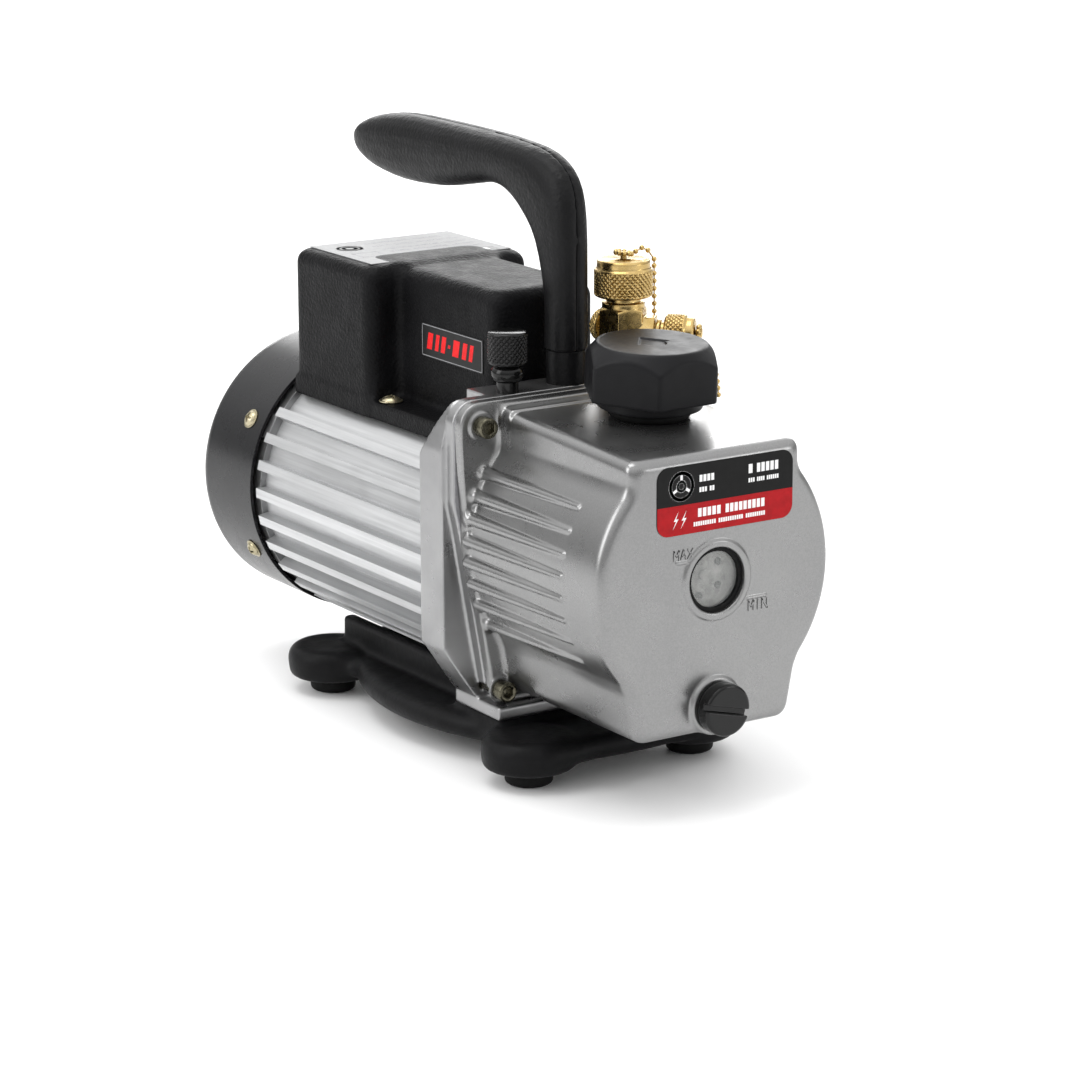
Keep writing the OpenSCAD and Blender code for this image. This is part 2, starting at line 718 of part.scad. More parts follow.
// Oil drop recess, point towards +Y
module drop_icon(r) {
    linear_extrude(1) union() {
        circle(r, $fn = 40);
        polygon([[-r * 0.9, r * 0.44], [0, r * 2.3], [r * 0.9, r * 0.44]]);
    }
}

// ---------- ports ----------

module side_port(a) {
    translate([intake_x, intake_y, intake_z]) rotate([0, 90, a]) children();
}

module intake_tee() {
    color("#c59a45") difference() {
        union() {
            translate([intake_x, intake_y, deck_z - 12]) cylinder(r = 5.5, h = 17);
            translate([intake_x, intake_y, tee_z0]) rotate([0, 0, tee_turn])
                cylinder(r = 9.2, h = tee_z1 - tee_z0, $fn = 6);
            translate([intake_x, intake_y, tee_z1]) cylinder(r = 7.9, h = 2.2);
            translate([intake_x, intake_y, tee_z1]) cylinder(r = 6.6, h = 13);
            side_port(-45) {
                cylinder(r = 6.2, h = 12, $fn = 6);
                cylinder(r = 3.4, h = 22);
            }
            side_port(90) cylinder(r = 3.4, h = 11);
        }
        translate([intake_x, intake_y, deck_z - 13]) cylinder(r = 3, h = 60);
        side_port(-45) cylinder(r = 1.6, h = 30);
        side_port(90) cylinder(r = 1.6, h = 30);
    }
}

module intake_screen() {
    color("#b8babd") translate([intake_x, intake_y, deck_z - 12]) difference() {
        cylinder(r = 3, h = 9);
        translate([0, 0, 0.5]) cylinder(r = 2.6, h = 10);
    }
}

// Flare cap along +Z: open end at z = 0, knurled band, stepped crown and chain stud
module flare_cap(r, bore_r, bore_h, band_h, crown_h) {
    rotate_extrude() polygon([
        [bore_r, 0], [r - 0.6, 0], [r, 0.8], [r, band_h], [r - 0.8, band_h + 0.6],
        [r - 1.2, band_h + crown_h - 0.4],
        [r - 1.8, band_h + crown_h], [1.1, band_h + crown_h], [1.1, band_h + crown_h + 1.6],
        [1.9, band_h + crown_h + 1.6], [1.9, band_h + crown_h + 2.6], [0, band_h + crown_h + 2.6],
        [0, bore_h], [bore_r, bore_h]
    ]);
}

module intake_cap_top() {
    color("#cda652") translate([intake_x, intake_y, top_cap_z])
        flare_cap(big_cap_r, 6.65, 10.2, top_band, top_crown);
}

module intake_cap_side() {
    color("#cda652") side_port(-45) translate([0, 0, side_cap_at])
        flare_cap(small_cap_r, 3.45, 6.7, side_band, side_crown);
}

module intake_cap_rear() {
    color("#cda652") side_port(90) translate([0, 0, rear_cap_at]) rotate_extrude() polygon([
        [3.45, 0], [small_cap_r - 0.6, 0], [small_cap_r, 0.8], [small_cap_r, 3.4], [small_cap_r - 0.8, 4],
        [small_cap_r - 1.8, 4.3], [0, 4.3], [0, 2.7], [3.45, 2.7]
    ]);
}

// String of touching beads along a hanging curve from a to b that bows out by s
module bead_string(a, b, s, r) {
    n = floor(norm(b - a) / (2 * r + 0.06));
    for (i = [0 : n]) {
        t = i / n;
        translate(a + (b - a) * t + s * sin(180 * t)) sphere(r = r, $fn = 24);
    }
}

module cap_chain_top() {
    color("#c8a24a") translate([intake_x, intake_y, 0]) rotate([0, 0, chain_a]) {
        for (i = [0 : 8]) translate([2.8 * cos(i * 40), 2.8 * sin(i * 40), top_stud_z + 1])
            sphere(r = 0.88, $fn = 24);
        bead_string([4.8, 0, top_stud_z + 1.2], [hang_r, 0, top_stud_z - 3], [0, 0, 2.2], chain_bead_r);
        bead_string([hang_r, 0, top_stud_z - 5.4], [hang_r, 0, chain_end_z], [0, 0, 0], chain_bead_r);
    }
}

module cap_chain_side() {
    color("#c8a24a")
        bead_string(side_tip + [0.9, -0.9, -3.1], side_tip + [6.5, -4, -23], [1.6, -0.6, 0], chain_bead_r);
}

module chain_ring() {
    color("#101010") translate(side_tip + [2.9, -2.9, -19]) rotate([90, 0, 33])
        rotate_extrude() translate([2.9, 0]) circle(0.8, $fn = 24);
}

module gas_ballast_seat() {
    color("#2a2a2c") translate([ballast_x, ballast_y, 0]) {
        translate([0, 0, deck_z]) cylinder(r = 4, h = 4);
        translate([0, 0, deck_z - 9]) cylinder(r = 2, h = 23);
    }
}

module gas_ballast_knob() {
    color("#141414") translate([ballast_x, ballast_y, deck_z + 4.3]) rotate_extrude() polygon(concat(
        [[2.05, 0]],
        [for (a = [-50 : 20 : 50]) [2.6 + 3.3 * cos(a), 2.7 + 3.4 * sin(a)]],
        [[4.4, 6], [6.6, 6], [7.2, 6.6], [7.2, 17.2], [6.6, 17.8], [2.05, 17.8]]
    ));
}

// ---------- handle ----------

// Catmull-Rom point between stations i and i + 1
function spline(path, i, t) = let (
    a = path[max(i - 1, 0)], b = path[i], c = path[i + 1], d = path[min(i + 2, len(path) - 1)]
) 0.5 * (2 * b + (c - a) * t + (2 * a - 5 * b + 4 * c - d) * t * t + (3 * b - a - 3 * c + d) * t * t * t);

function squircle(v) = sign(v) * pow(abs(v), 0.78);

function handle_ring(s) = [for (k = [0 : handle_sides - 1]) let (
    a = k * 360 / handle_sides,
    u = squircle(sin(a)) / 2 + 0.5
) [s[4] * squircle(cos(a)), s[0] + (s[2] - s[0]) * u, s[1] + (s[3] - s[1]) * u]];

module handle_body() {
    spans = len(handle_path) - 1;
    rings = concat(
        [for (i = [0 : spans - 1], j = [0 : handle_steps - 1])
            handle_ring(spline(handle_path, i, j / handle_steps))],
        [handle_ring(handle_path[spans])]
    );
    n = handle_sides;
    last = len(rings) - 1;
    polyhedron(
        points = [for (ring = rings, q = ring) q],
        faces = concat(
            [[for (k = [0 : n - 1]) n - 1 - k]],
            [[for (k = [0 : n - 1]) last * n + k]],
            [for (i = [0 : last - 1], k = [0 : n - 1])
                [i * n + k, i * n + (k + 1) % n, (i + 1) * n + (k + 1) % n]],
            [for (i = [0 : last - 1], k = [0 : n - 1])
                [i * n + k, (i + 1) * n + (k + 1) % n, (i + 1) * n + k]]
        )
    );
}

module handle_half(side) {
    difference() {
        intersection() {
            handle_body();
            translate([side < 0 ? -20 : 0, -100, 140]) cube([20, 250, 100]);
        }
        translate([0, post_y, 140]) cylinder(r = 4.2, h = 31);
    }
}

module handle_left() {
    color("#1b1b1d") handle_half(-1);
}

module handle_right() {
    color("#1b1b1d") handle_half(1);
}

module handle_collar() {
    color("#0f0f10") translate([0, post_y, deck_z]) difference() {
        cylinder(r = 7.2, h = 149 - deck_z);
        translate([0, 0, -1]) cylinder(r = 4, h = 20);
    }
}

module handle_stud() {
    color("silver") translate([0, post_y, 108]) cylinder(r = 4, h = 62);
}

// ---------- electrical box ----------

module box_plan(inset) {
    offset(delta = -inset) union() {
        soften(5) translate([-box_w, box_y_step]) square([2 * box_w, box_y1 - box_y_step]);
        soften(5) translate([-box_nose_w, box_y0]) square([2 * box_nose_w, box_y_step - box_y0 + 20]);
    }
}

module shell_space() {
    along_y(-100) cylinder(r = shell_r, h = 300, $fn = 128);
}

module junction_box() {
    color("#202022") difference() {
        union() {
            translate([0, 0, skirt_z]) linear_extrude(box_z1 - skirt_z) box_plan(0);
            translate([0, 0, skirt_z]) linear_extrude(ledge_z - skirt_z)
                soften(4) translate([-box_w, box_y0]) square([2 * box_w, box_y1 - box_y0]);
        }
        translate([0, 0, skirt_z - 1]) linear_extrude(box_z1 - box_wall - skirt_z + 1) box_plan(box_wall);
        shell_space();
        for (a = [0 : fin_pitch : 48], s = [-1, 1])
            translate([0, -50, axis_z]) rotate([0, -90 + s * (90 - a), 0])
            translate([40, 0, -fin_t / 2 - 0.3]) cube([fin_tip_r - 39.5, 200, fin_t + 0.6]);
        inlet_place() translate([-13.8, -10, -10.3]) cube([27.6, 30, 20.6]);
        switch_place() translate([-7.5, -10, -11.5]) cube([15, 30, 23]);
        selector_place() translate([-7, -10, -3.5]) cube([14, 30, 7]);
        for (s = [-1, 1]) translate([s * box_screw_x, box_screw_y, skirt_z - 1]) cylinder(r = 1.6, h = 20);
    }
}

module box_screws() {
    color("#b9b08a") for (s = [-1, 1]) translate([s * box_screw_x, box_screw_y, ledge_z])
        pan_screw(1.6, 5.5, 4.2);
}

module capacitor() {
    color("#33373d") translate([-13.5, 42, axis_z + 62.3]) rotate([-90, 0, 0]) union() {
        cylinder(r = 15, h = 30);
        for (x = [-5, 5]) translate([x, 0, 30]) cylinder(r = 1.5, h = 4);
    }
}

module inlet_place() {
    translate([-15, box_y1, 146]) children();
}

module switch_place() {
    translate([16, box_y1, 149]) children();
}

module selector_place() {
    translate([16, box_y1, 128.5]) children();
}

module power_inlet() {
    color("#141415") inlet_place() {
        difference() {
            union() {
                translate([-13.8, -16, -10.3]) cube([27.6, 16, 20.6]);
                plate(0, 1.6) soften(2) square([31, 24], center = true);
            }
            translate([-12.2, -14, -8.5]) cube([24.4, 20, 17]);
        }
        for (x = [-7, 0, 7]) translate([x - 1, -15, x == 0 ? 3 : 0.5]) cube([2, 12, 4]);
    }
}

module switch_bezel() {
    color("#101011") switch_place() difference() {
        union() {
            translate([-7.5, -12, -11.5]) cube([15, 12, 23]);
            plate(0, 1.4) soften(1.5) square([19, 26], center = true);
        }
        translate([-6, -9, -10]) cube([12, 12, 20]);
        translate([0, -4.5, 0]) rotate([0, 90, 0]) cylinder(r = 1.05, h = 13.4, center = true);
    }
}

module rocker_switch() {
    color("#9a1b1b") switch_place() translate([0, -4.5, 0]) rotate([rocker_tilt, 0, 0]) union() {
        difference() {
            translate([-5.6, -2.6, -9.2]) cube([11.2, 9, 18.4]);
            for (s = [-1, 1]) translate([0, 10.2, s * 9.6]) rotate([0, 90, 0])
                cylinder(r = 5.5, h = 20, center = true);
        }
        rotate([0, 90, 0]) cylinder(r = 1, h = 13, center = true);
    }
}

module voltage_selector() {
    color("#a51d1d") selector_place() difference() {
        union() {
            translate([-4.5, -4, -2.8]) cube([6, 4.6, 5.6]);
            translate([-5.5, -5.5, -3.1]) cube([8, 1.5, 6.2]);
        }
        translate([-2.2, -0.4, -3]) cube([1.4, 2, 6]);
    }
}

// ---------- labels ----------

module rating_label() {
    color("#e8e9ea") translate([-30.5, 44, box_z1]) cube([62, 46, 0.25]);
}

module front_label() {
    color("#151515") plate(cover_y0 - 0.25, cover_y0) translate([3.3, 114.2]) soften(4.6)
        square([57.2, 24.2], center = true);
}

module side_badge() {
    color("#121212") translate([-box_nose_w - 0.25, -19.8, 138.5]) cube([0.25, 42, 12.5]);
}

base();
rubber_feet();
foot_screws();
base_bolts();
motor_shell();
stator_core();
stator_windings();
through_bolts();
motor_shaft();
motor_rotor_core();
shaft_key();
cooling_fan();
bell_housing();
rear_end_shield();
front_bearing();
rear_bearing();
shaft_seal();
fan_cover();
fan_cover_screws();
pump_cylinder();
pump_end_plate();
pump_screws();
pump_rotor();
vanes();
vane_springs();
exhaust_valve();
valve_stop();
cover_gasket();
oil_cover();
cover_screws();
sight_glass();
sight_glass_seal();
drain_plug();
drain_seal();
oil_fill_cap();
fill_cap_seal();
intake_tee();
intake_screen();
intake_cap_top();
intake_cap_side();
intake_cap_rear();
cap_chain_top();
cap_chain_side();
chain_ring();
gas_ballast_seat();
gas_ballast_knob();
handle_left();
handle_right();
handle_collar();
handle_stud();
junction_box();
box_screws();
capacitor();
power_inlet();
switch_bezel();
rocker_switch();
voltage_selector();
rating_label();
front_label();
side_badge();
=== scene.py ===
import json
import math

import bmesh
import bpy
import numpy as np
from mathutils import Matrix, Vector

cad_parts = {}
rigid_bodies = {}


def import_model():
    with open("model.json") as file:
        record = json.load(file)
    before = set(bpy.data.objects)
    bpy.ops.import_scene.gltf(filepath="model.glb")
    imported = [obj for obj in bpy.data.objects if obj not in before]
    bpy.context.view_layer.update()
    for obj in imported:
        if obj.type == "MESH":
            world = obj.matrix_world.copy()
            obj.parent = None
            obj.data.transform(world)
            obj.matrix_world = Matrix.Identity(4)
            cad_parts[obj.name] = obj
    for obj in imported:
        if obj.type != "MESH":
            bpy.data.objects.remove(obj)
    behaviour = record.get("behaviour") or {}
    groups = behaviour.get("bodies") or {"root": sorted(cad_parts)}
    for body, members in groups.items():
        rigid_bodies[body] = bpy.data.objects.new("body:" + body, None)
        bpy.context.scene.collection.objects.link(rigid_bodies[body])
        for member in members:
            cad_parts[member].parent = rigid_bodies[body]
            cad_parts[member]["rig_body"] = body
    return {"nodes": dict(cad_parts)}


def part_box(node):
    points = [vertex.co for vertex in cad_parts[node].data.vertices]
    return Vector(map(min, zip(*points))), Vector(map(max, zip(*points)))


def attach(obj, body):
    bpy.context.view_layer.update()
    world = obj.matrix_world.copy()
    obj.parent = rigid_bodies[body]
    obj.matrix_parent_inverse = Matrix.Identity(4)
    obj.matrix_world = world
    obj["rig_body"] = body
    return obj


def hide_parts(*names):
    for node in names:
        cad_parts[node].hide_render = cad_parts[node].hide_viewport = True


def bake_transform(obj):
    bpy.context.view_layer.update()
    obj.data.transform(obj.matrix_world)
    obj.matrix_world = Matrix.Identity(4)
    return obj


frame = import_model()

MM = 0.001

# millimetres and radians that several pieces share
SHAFT_Z = 75
ROOF_TILT = math.radians(3.1)
SOCKET_HEAD_R = 3.75
LOWER_SCREW_X = 36.6
BOX_SCREW_R = 4.2
FOOT_R = 8.8


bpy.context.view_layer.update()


def box_mm(node):
    """Lowest and highest corner of a CAD node, in millimetres."""
    low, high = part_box(node)
    return np.array(low) / MM, np.array(high) / MM


def middle_mm(node):
    return np.array(box_mm(node)).mean(0)


def show(name, data):
    """Adds an object to the scene."""
    thing = bpy.data.objects.new(name, data)
    bpy.context.scene.collection.objects.link(thing)
    return thing


def shade_smooth(mesh):
    mesh.polygons.foreach_set("use_smooth", np.ones(len(mesh.polygons), bool))


def keep_crisp(piece, degrees):
    """Keeps the edges that bend by more than this angle sharp."""
    piece.modifiers.new("edges", "EDGE_SPLIT").split_angle = math.radians(degrees)


# ------------------ camera and stage

VIEW_AZIMUTH = -33.255
VIEW_ELEVATION = 14.547
VIEW_ROLL = -0.132
VIEW_DISTANCE = 1.34382
VIEW_LENS = 121.15


def make_camera():
    az, el, roll = (math.radians(v) for v in (VIEW_AZIMUTH, VIEW_ELEVATION, VIEW_ROLL))
    right = Vector((math.cos(az), math.sin(az), 0))
    back = Vector((math.sin(az) * math.cos(el), -math.cos(az) * math.cos(el), math.sin(el)))
    up = back.cross(right)
    target = Vector((0, -0.0025, 0.071635)) + right * 0.009619
    side = right * math.cos(roll) + up * math.sin(roll)
    over = up * math.cos(roll) - right * math.sin(roll)
    camera = show("camera", bpy.data.cameras.new("camera"))
    camera.data.lens = VIEW_LENS
    camera.data.sensor_width = 36
    camera.data.clip_end = 20
    spot = target + back * VIEW_DISTANCE
    camera.matrix_world = Matrix((
        (side.x, over.x, back.x, spot.x),
        (side.y, over.y, back.y, spot.y),
        (side.z, over.z, back.z, spot.z),
        (0, 0, 0, 1),
    ))
    bpy.context.scene.camera = camera


def make_light(name, place, size, power, aim=(0, 0, 0.08), size_y=None):
    light = bpy.data.lights.new(name, "AREA")
    light.shape = "RECTANGLE"
    light.size = size
    light.size_y = size_y or size
    light.energy = power
    lamp = show(name, light)
    lamp.location = place
    lamp.rotation_mode = "QUATERNION"
    lamp.rotation_quaternion = (Vector(aim) - Vector(place)).to_track_quat("-Z", "Y")


def make_world():
    """Even white sky that is brighter overhead than at the horizon."""
    world = bpy.data.worlds.new("studio")
    bpy.context.scene.world = world
    world.use_nodes = True
    tree = world.node_tree
    direction = add_node(tree, "ShaderNodeTexCoord").outputs["Generated"]
    split = add_node(tree, "ShaderNodeSeparateXYZ")
    tree.links.new(direction, split.inputs[0])
    rise = add_node(tree, "ShaderNodeMapRange",
                    {"From Min": 0.0, "From Max": 0.6, "To Min": 0.3, "To Max": 1.35})
    tree.links.new(split.outputs["Z"], rise.inputs["Value"])
    background = tree.nodes["Background"]
    background.inputs["Color"].default_value = (1, 1, 1, 1)
    tree.links.new(rise.outputs["Result"], background.inputs["Strength"])


def make_stage():
    mesh = bpy.data.meshes.new("floor")
    r = 6
    mesh.from_pydata([(-r, -r, 0), (r, -r, 0), (r, r, 0), (-r, r, 0)], [], [(0, 1, 2, 3)])
    floor = show("floor", mesh)
    floor.location.z = -0.0002
    mesh.materials.append(plain_floor())
    make_world()
    make_light("overhead", (-0.3, 0.1, 1.5), 0.9, 8)
    make_light("left_wall", (-1.7, 0.3, 0.9), 0.9, 12, size_y=1.2)
    make_light("front_right", (1.3, -1.7, 0.5), 0.5, 4)
    make_light("rear_right", (1.7, 2.5, 1.15), 2.4, 34, size_y=1.2)
    scene = bpy.context.scene
    scene.view_settings.view_transform = "Standard"
    scene.view_settings.exposure = 0.0


# ------------------ materials

def add_node(tree, kind, inputs=None, **values):
    node = tree.nodes.new(kind)
    for key, value in values.items():
        setattr(node, key, value)
    for key, value in (inputs or {}).items():
        node.inputs[key].default_value = value
    return node


class Nodes:
    """Small helper that adds and links shader nodes."""

    def __init__(self, name):
        self.material = bpy.data.materials.new(name)
        self.material.use_nodes = True
        self.tree = self.material.node_tree
        self.shader = self.tree.nodes["Principled BSDF"]
        self.place = self.add("ShaderNodeTexCoord").outputs["Object"]

    def add(self, kind, inputs=None, **values):
        return add_node(self.tree, kind, inputs, **values)

    def link(self, source, target):
        self.tree.links.new(source, target)

    def stretch(self, scale):
        node = self.add("ShaderNodeMapping", {"Scale": scale})
        self.link(self.place, node.inputs["Vector"])
        return node.outputs["Vector"]

    def noise(self, scale, detail=4, roughness=0.55, vector=None):
        node = self.add("ShaderNodeTexNoise", {"Scale": scale, "Detail": detail, "Roughness": roughness})
        self.link(vector or self.place, node.inputs["Vector"])
        return node.outputs["Fac"]

    def cells(self, scale):
        node = self.add("ShaderNodeTexVoronoi", {"Scale": scale}, feature="SMOOTH_F1")
        self.link(self.place, node.inputs["Vector"])
        return node.outputs["Distance"]

    def ramp(self, source, low, high, start=0.3, stop=0.7):
        node = self.add("ShaderNodeMapRange",
                        {"From Min": start, "From Max": stop, "To Min": low, "To Max": high})
        self.link(source, node.inputs["Value"])
        return node.outputs["Result"]

    def blend(self, factor, first, second):
        node = self.add("ShaderNodeMix", {6: (*first, 1), 7: (*second, 1)}, data_type="RGBA")
        self.link(factor, node.inputs[0])
        return node.outputs[2]

    def sum(self, a, b, share):
        node = self.add("ShaderNodeMath", {1: share}, operation="MULTIPLY_ADD")
        self.link(b, node.inputs[0])
        self.link(a, node.inputs[2])
        return node.outputs["Value"]

    def bump(self, height, strength, distance, rounding=0.0):
        node = self.add("ShaderNodeBump", {"Strength": strength, "Distance": distance})
        self.link(height, node.inputs["Height"])
        if rounding:
            bevel = self.add("ShaderNodeBevel", {"Radius": rounding}, samples=4)
            self.link(bevel.outputs["Normal"], node.inputs["Normal"])
        self.link(node.outputs["Normal"], self.shader.inputs["Normal"])

    def set(self, **values):
        for key, value in values.items():
            self.shader.inputs[key.replace("_", " ")].default_value = value


def shade(m, dark, light, rough_low, rough_high, scale=60):
    """Slow colour drift and uneven roughness."""
    drift = m.noise(scale)
    m.link(m.blend(m.ramp(drift, 0, 1), dark, light), m.shader.inputs["Base Color"])
    patchy = m.noise(scale * 3.1, detail=6)
    m.link(m.ramp(patchy, rough_low, rough_high), m.shader.inputs["Roughness"])


def moulded_plastic(name, dark, light, rough, grain_scale, grain, size=0.0002, gloss=0.12):
    """Moulded plastic with a spark-eroded grain."""
    m = Nodes(name)
    shade(m, dark, light, rough - 0.05, rough + 0.06)
    height = m.sum(m.noise(grain_scale, detail=3), m.cells(grain_scale * 0.8), 0.6)
    m.bump(height, grain, size, 0.0004)
    m.set(Specular_IOR_Level=gloss)
    return m.material


def silver_paint():
    """Satin silver paint with fine metal flake over a slightly rough casting."""
    m = Nodes("silver_paint")
    flake = m.noise(1900, detail=2)
    drift = m.noise(18, detail=3)
    tone = m.sum(m.ramp(flake, 0, 1), m.ramp(drift, -0.4, 0.4), 1.0)
    m.link(m.blend(tone, (0.235, 0.235, 0.236), (0.275, 0.275, 0.273)), m.shader.inputs["Base Color"])
    m.link(m.ramp(m.noise(90, detail=5), 0.25, 0.33), m.shader.inputs["Roughness"])
    m.bump(m.noise(1500, detail=1), 0.02, 0.00004)
    m.set(Metallic=0.92, Coat_Weight=0.12, Coat_Roughness=0.2)
    return m.material


def cast_aluminium():
    """Machined and tumbled casting with faint tool lines."""
    m = Nodes("cast_aluminium")
    shade(m, (0.27, 0.27, 0.273), (0.35, 0.35, 0.352), 0.26, 0.36, 40)
    lines = m.noise(500, detail=2, vector=m.stretch((1, 1, 0.04)))
    m.bump(m.sum(m.noise(900), lines, 0.7), 0.14, 0.0001, 0.0003)
    m.set(Metallic=0.95)
    return m.material


def extruded_aluminium():
    """Bright etched extrusion, drawn along the shaft."""
    m = Nodes("extruded_aluminium")
    along = m.stretch((1, 0.02, 1))
    streak = m.noise(700, detail=3, vector=along)
    tone = m.blend(m.ramp(streak, 0, 1), (0.48, 0.485, 0.49), (0.6, 0.605, 0.61))
    m.link(tone, m.shader.inputs["Base Color"])
    m.link(m.ramp(m.noise(60, detail=5), 0.36, 0.5), m.shader.inputs["Roughness"])
    m.bump(m.sum(streak, m.noise(1500), 0.4), 0.18, 0.0001, 0.0002)
    m.set(Metallic=0.8, Anisotropic=0.3)
    return m.material


def steel(name, dark, light, rough=0.3):
    m = Nodes(name)
    shade(m, dark, light, rough - 0.06, rough + 0.1, 220)
    m.bump(m.noise(1200, detail=2), 0.06, 0.00005, 0.0002)
    m.set(Metallic=0.95)
    return m.material


def brass():
    """Turned brass with light random tarnish, and painted shade that ambient occlusion puts into the hollows.
    """
    m = Nodes("brass")
    tarnish = m.noise(240, detail=5)
    clean = m.blend(m.ramp(tarnish, 0, 1, 0.3, 0.6), (0.48, 0.33, 0.115), (0.6, 0.43, 0.18))
    # painted shade: the brass colour is multiplied by ambient occlusion, so the hollows and knurl valleys are
    # darkened
    mix = m.add("ShaderNodeMix", {0: 0.4}, data_type="RGBA", blend_type="MULTIPLY")
    painted_hollow_shade = m.add("ShaderNodeAmbientOcclusion", {"Distance": 0.0015}, samples=4)
    m.link(clean, mix.inputs[6])
    m.link(painted_hollow_shade.outputs["Color"], mix.inputs[7])
    m.link(mix.outputs[2], m.shader.inputs["Base Color"])
    m.link(m.ramp(m.noise(500, detail=4), 0.2, 0.34), m.shader.inputs["Roughness"])
    turned = m.noise(900, detail=2, vector=m.stretch((0.05, 0.05, 1)))
    m.bump(turned, 0.1, 0.00006)
    m.set(Metallic=1.0)
    return m.material


def black_enamel():
    """Powder-coated sheet steel, smooth with a slight orange peel."""
    m = Nodes("black_enamel")
    shade(m, (0.006, 0.006, 0.007), (0.01, 0.01, 0.011), 0.24, 0.32, 30)
    m.bump(m.noise(420, detail=2), 0.12, 0.00012, 0.0004)
    m.set(Specular_IOR_Level=0.25, Coat_Weight=0.08, Coat_Roughness=0.18)
    return m.material


def rubber():
    m = Nodes("rubber")
    shade(m, (0.003, 0.003, 0.003), (0.007, 0.007, 0.007), 0.5, 0.7, 150)
    m.bump(m.noise(1100, detail=4), 0.2, 0.0001)
    m.set(Specular_IOR_Level=0.14)
    return m.material


def clear_glass():
    """Thin clear window that keeps its gloss."""
    m = Nodes("clear_glass")
    m.link(m.blend(m.noise(40), (0.5, 0.52, 0.51), (0.62, 0.63, 0.62)), m.shader.inputs["Base Color"])
    m.link(m.ramp(m.noise(300), 0.03, 0.08), m.shader.inputs["Roughness"])
    m.set(Alpha=0.22, IOR=1.5)
    return m.material


def reflector():
    """Pale dish behind the glass, clouded by oil."""
    m = Nodes("reflector")
    cloud = m.noise(120, detail=4, roughness=0.7)
    tone = m.blend(m.ramp(cloud, 0, 1), (0.07, 0.066, 0.06), (0.42, 0.41, 0.385))
    m.link(tone, m.shader.inputs["Base Color"])
    m.link(m.ramp(m.noise(200), 0.25, 0.45), m.shader.inputs["Roughness"])
    m.bump(m.noise(260, detail=3), 0.5, 0.0004)
    m.set(Metallic=0.4)
    return m.material


def printed(name, dark, light, rough):
    """Printed film: a smooth face with faint ink mottling."""
    m = Nodes(name)
    shade(m, dark, light, rough - 0.04, rough + 0.05, 400)
    m.bump(m.noise(700, detail=2), 0.05, 0.00005)
    m.set(Specular_IOR_Level=0.15, Coat_Weight=0.03, Coat_Roughness=0.2)
    return m.material


def plain_floor():
    m = Nodes("pale_floor")
    m.link(m.blend(m.noise(3), (0.86, 0.86, 0.86), (0.9, 0.9, 0.9)), m.shader.inputs["Base Color"])
    m.set(Roughness=0.7, Specular_IOR_Level=0.2)
    return m.material


def make_finishes():
    black = ((0.003, 0.003, 0.0033), (0.0065, 0.0065, 0.0072))
    made = [
        moulded_plastic("box_plastic", *black, 0.44, 1000, 0.8, 0.0004, gloss=0.08),
        moulded_plastic("base_plastic", *black, 0.46, 600, 0.4, 0.0002),
        moulded_plastic("grip_plastic", *black, 0.42, 800, 0.6, 0.0003, gloss=0.16),
        moulded_plastic("cap_plastic", (0.0035, 0.0035, 0.0042), (0.0065, 0.0065, 0.0076),
                        0.4, 700, 0.12, gloss=0.16),
        moulded_plastic("gloss_plastic", (0.003, 0.003, 0.003), (0.006, 0.006, 0.006),
                        0.16, 300, 0.04, gloss=0.3),
        moulded_plastic("red_plastic", (0.4, 0.01, 0.01), (0.5, 0.02, 0.015), 0.3, 600, 0.08),
        silver_paint(),
        cast_aluminium(),
        extruded_aluminium(),
        steel("steel", (0.4, 0.4, 0.41), (0.55, 0.55, 0.56)),
        steel("dark_steel", (0.13, 0.13, 0.135), (0.22, 0.22, 0.225), 0.42),
        steel("zinc_steel", (0.34, 0.3, 0.18), (0.5, 0.45, 0.32), 0.28),
        steel("bronze_steel", (0.07, 0.066, 0.046), (0.14, 0.131, 0.096), 0.24),
        reflector(),
        brass(),
        black_enamel(),
        rubber(),
        clear_glass(),
        steel("copper", (0.45, 0.18, 0.08), (0.6, 0.27, 0.12), 0.35),
        printed("white_film", (0.24, 0.242, 0.245), (0.28, 0.282, 0.285), 0.45),
        printed("black_film", (0.002, 0.002, 0.002), (0.004, 0.004, 0.004), 0.32),
        printed("red_film", (0.3, 0.002, 0.005), (0.4, 0.004, 0.008), 0.35),
        printed("red_ink", (0.6, 0.003, 0.006), (0.75, 0.006, 0.008), 0.4),
        printed("white_ink", (0.78, 0.78, 0.78), (0.86, 0.86, 0.86), 0.45),
        printed("grey_ink", (0.2, 0.2, 0.21), (0.28, 0.28, 0.29), 0.45),
    ]
    # Blender adds .001 to a name that a material of the CAD nodes already has
    return {material.name.split(".")[0]: material for material in made}


NODE_FINISH = {
    "base_plastic": "base",
    "grey_ink": "cover_gasket",
    "rubber": "rubber_feet shaft_seal sight_glass_seal drain_seal fill_cap_seal chain_ring",
    "steel": "foot_screws base_bolts through_bolts motor_shaft shaft_key front_bearing rear_bearing"
             " pump_screws pump_rotor vane_springs exhaust_valve valve_stop intake_screen handle_stud",
    "dark_steel": "stator_core motor_rotor_core pump_cylinder pump_end_plate",
    "copper": "stator_windings",
    "extruded_aluminium": "motor_shell",
    "cast_aluminium": "bell_housing rear_end_shield",
    "black_enamel": "fan_cover",
    "zinc_steel": "fan_cover_screws cover_screws box_screws",
    "silver_paint": "oil_cover",
    "clear_glass": "sight_glass",
    "gloss_plastic": "drain_plug gas_ballast_seat gas_ballast_knob",
    "cap_plastic": "oil_fill_cap",
    "brass": "intake_tee intake_cap_top intake_cap_side intake_cap_rear cap_chain_top cap_chain_side",
    "grip_plastic": "handle_left handle_right handle_collar capacitor vanes",
    "box_plastic": "junction_box power_inlet switch_bezel cooling_fan",
    "red_plastic": "rocker_switch voltage_selector",
    "white_film": "rating_label",
    "black_film": "front_label side_badge",
}


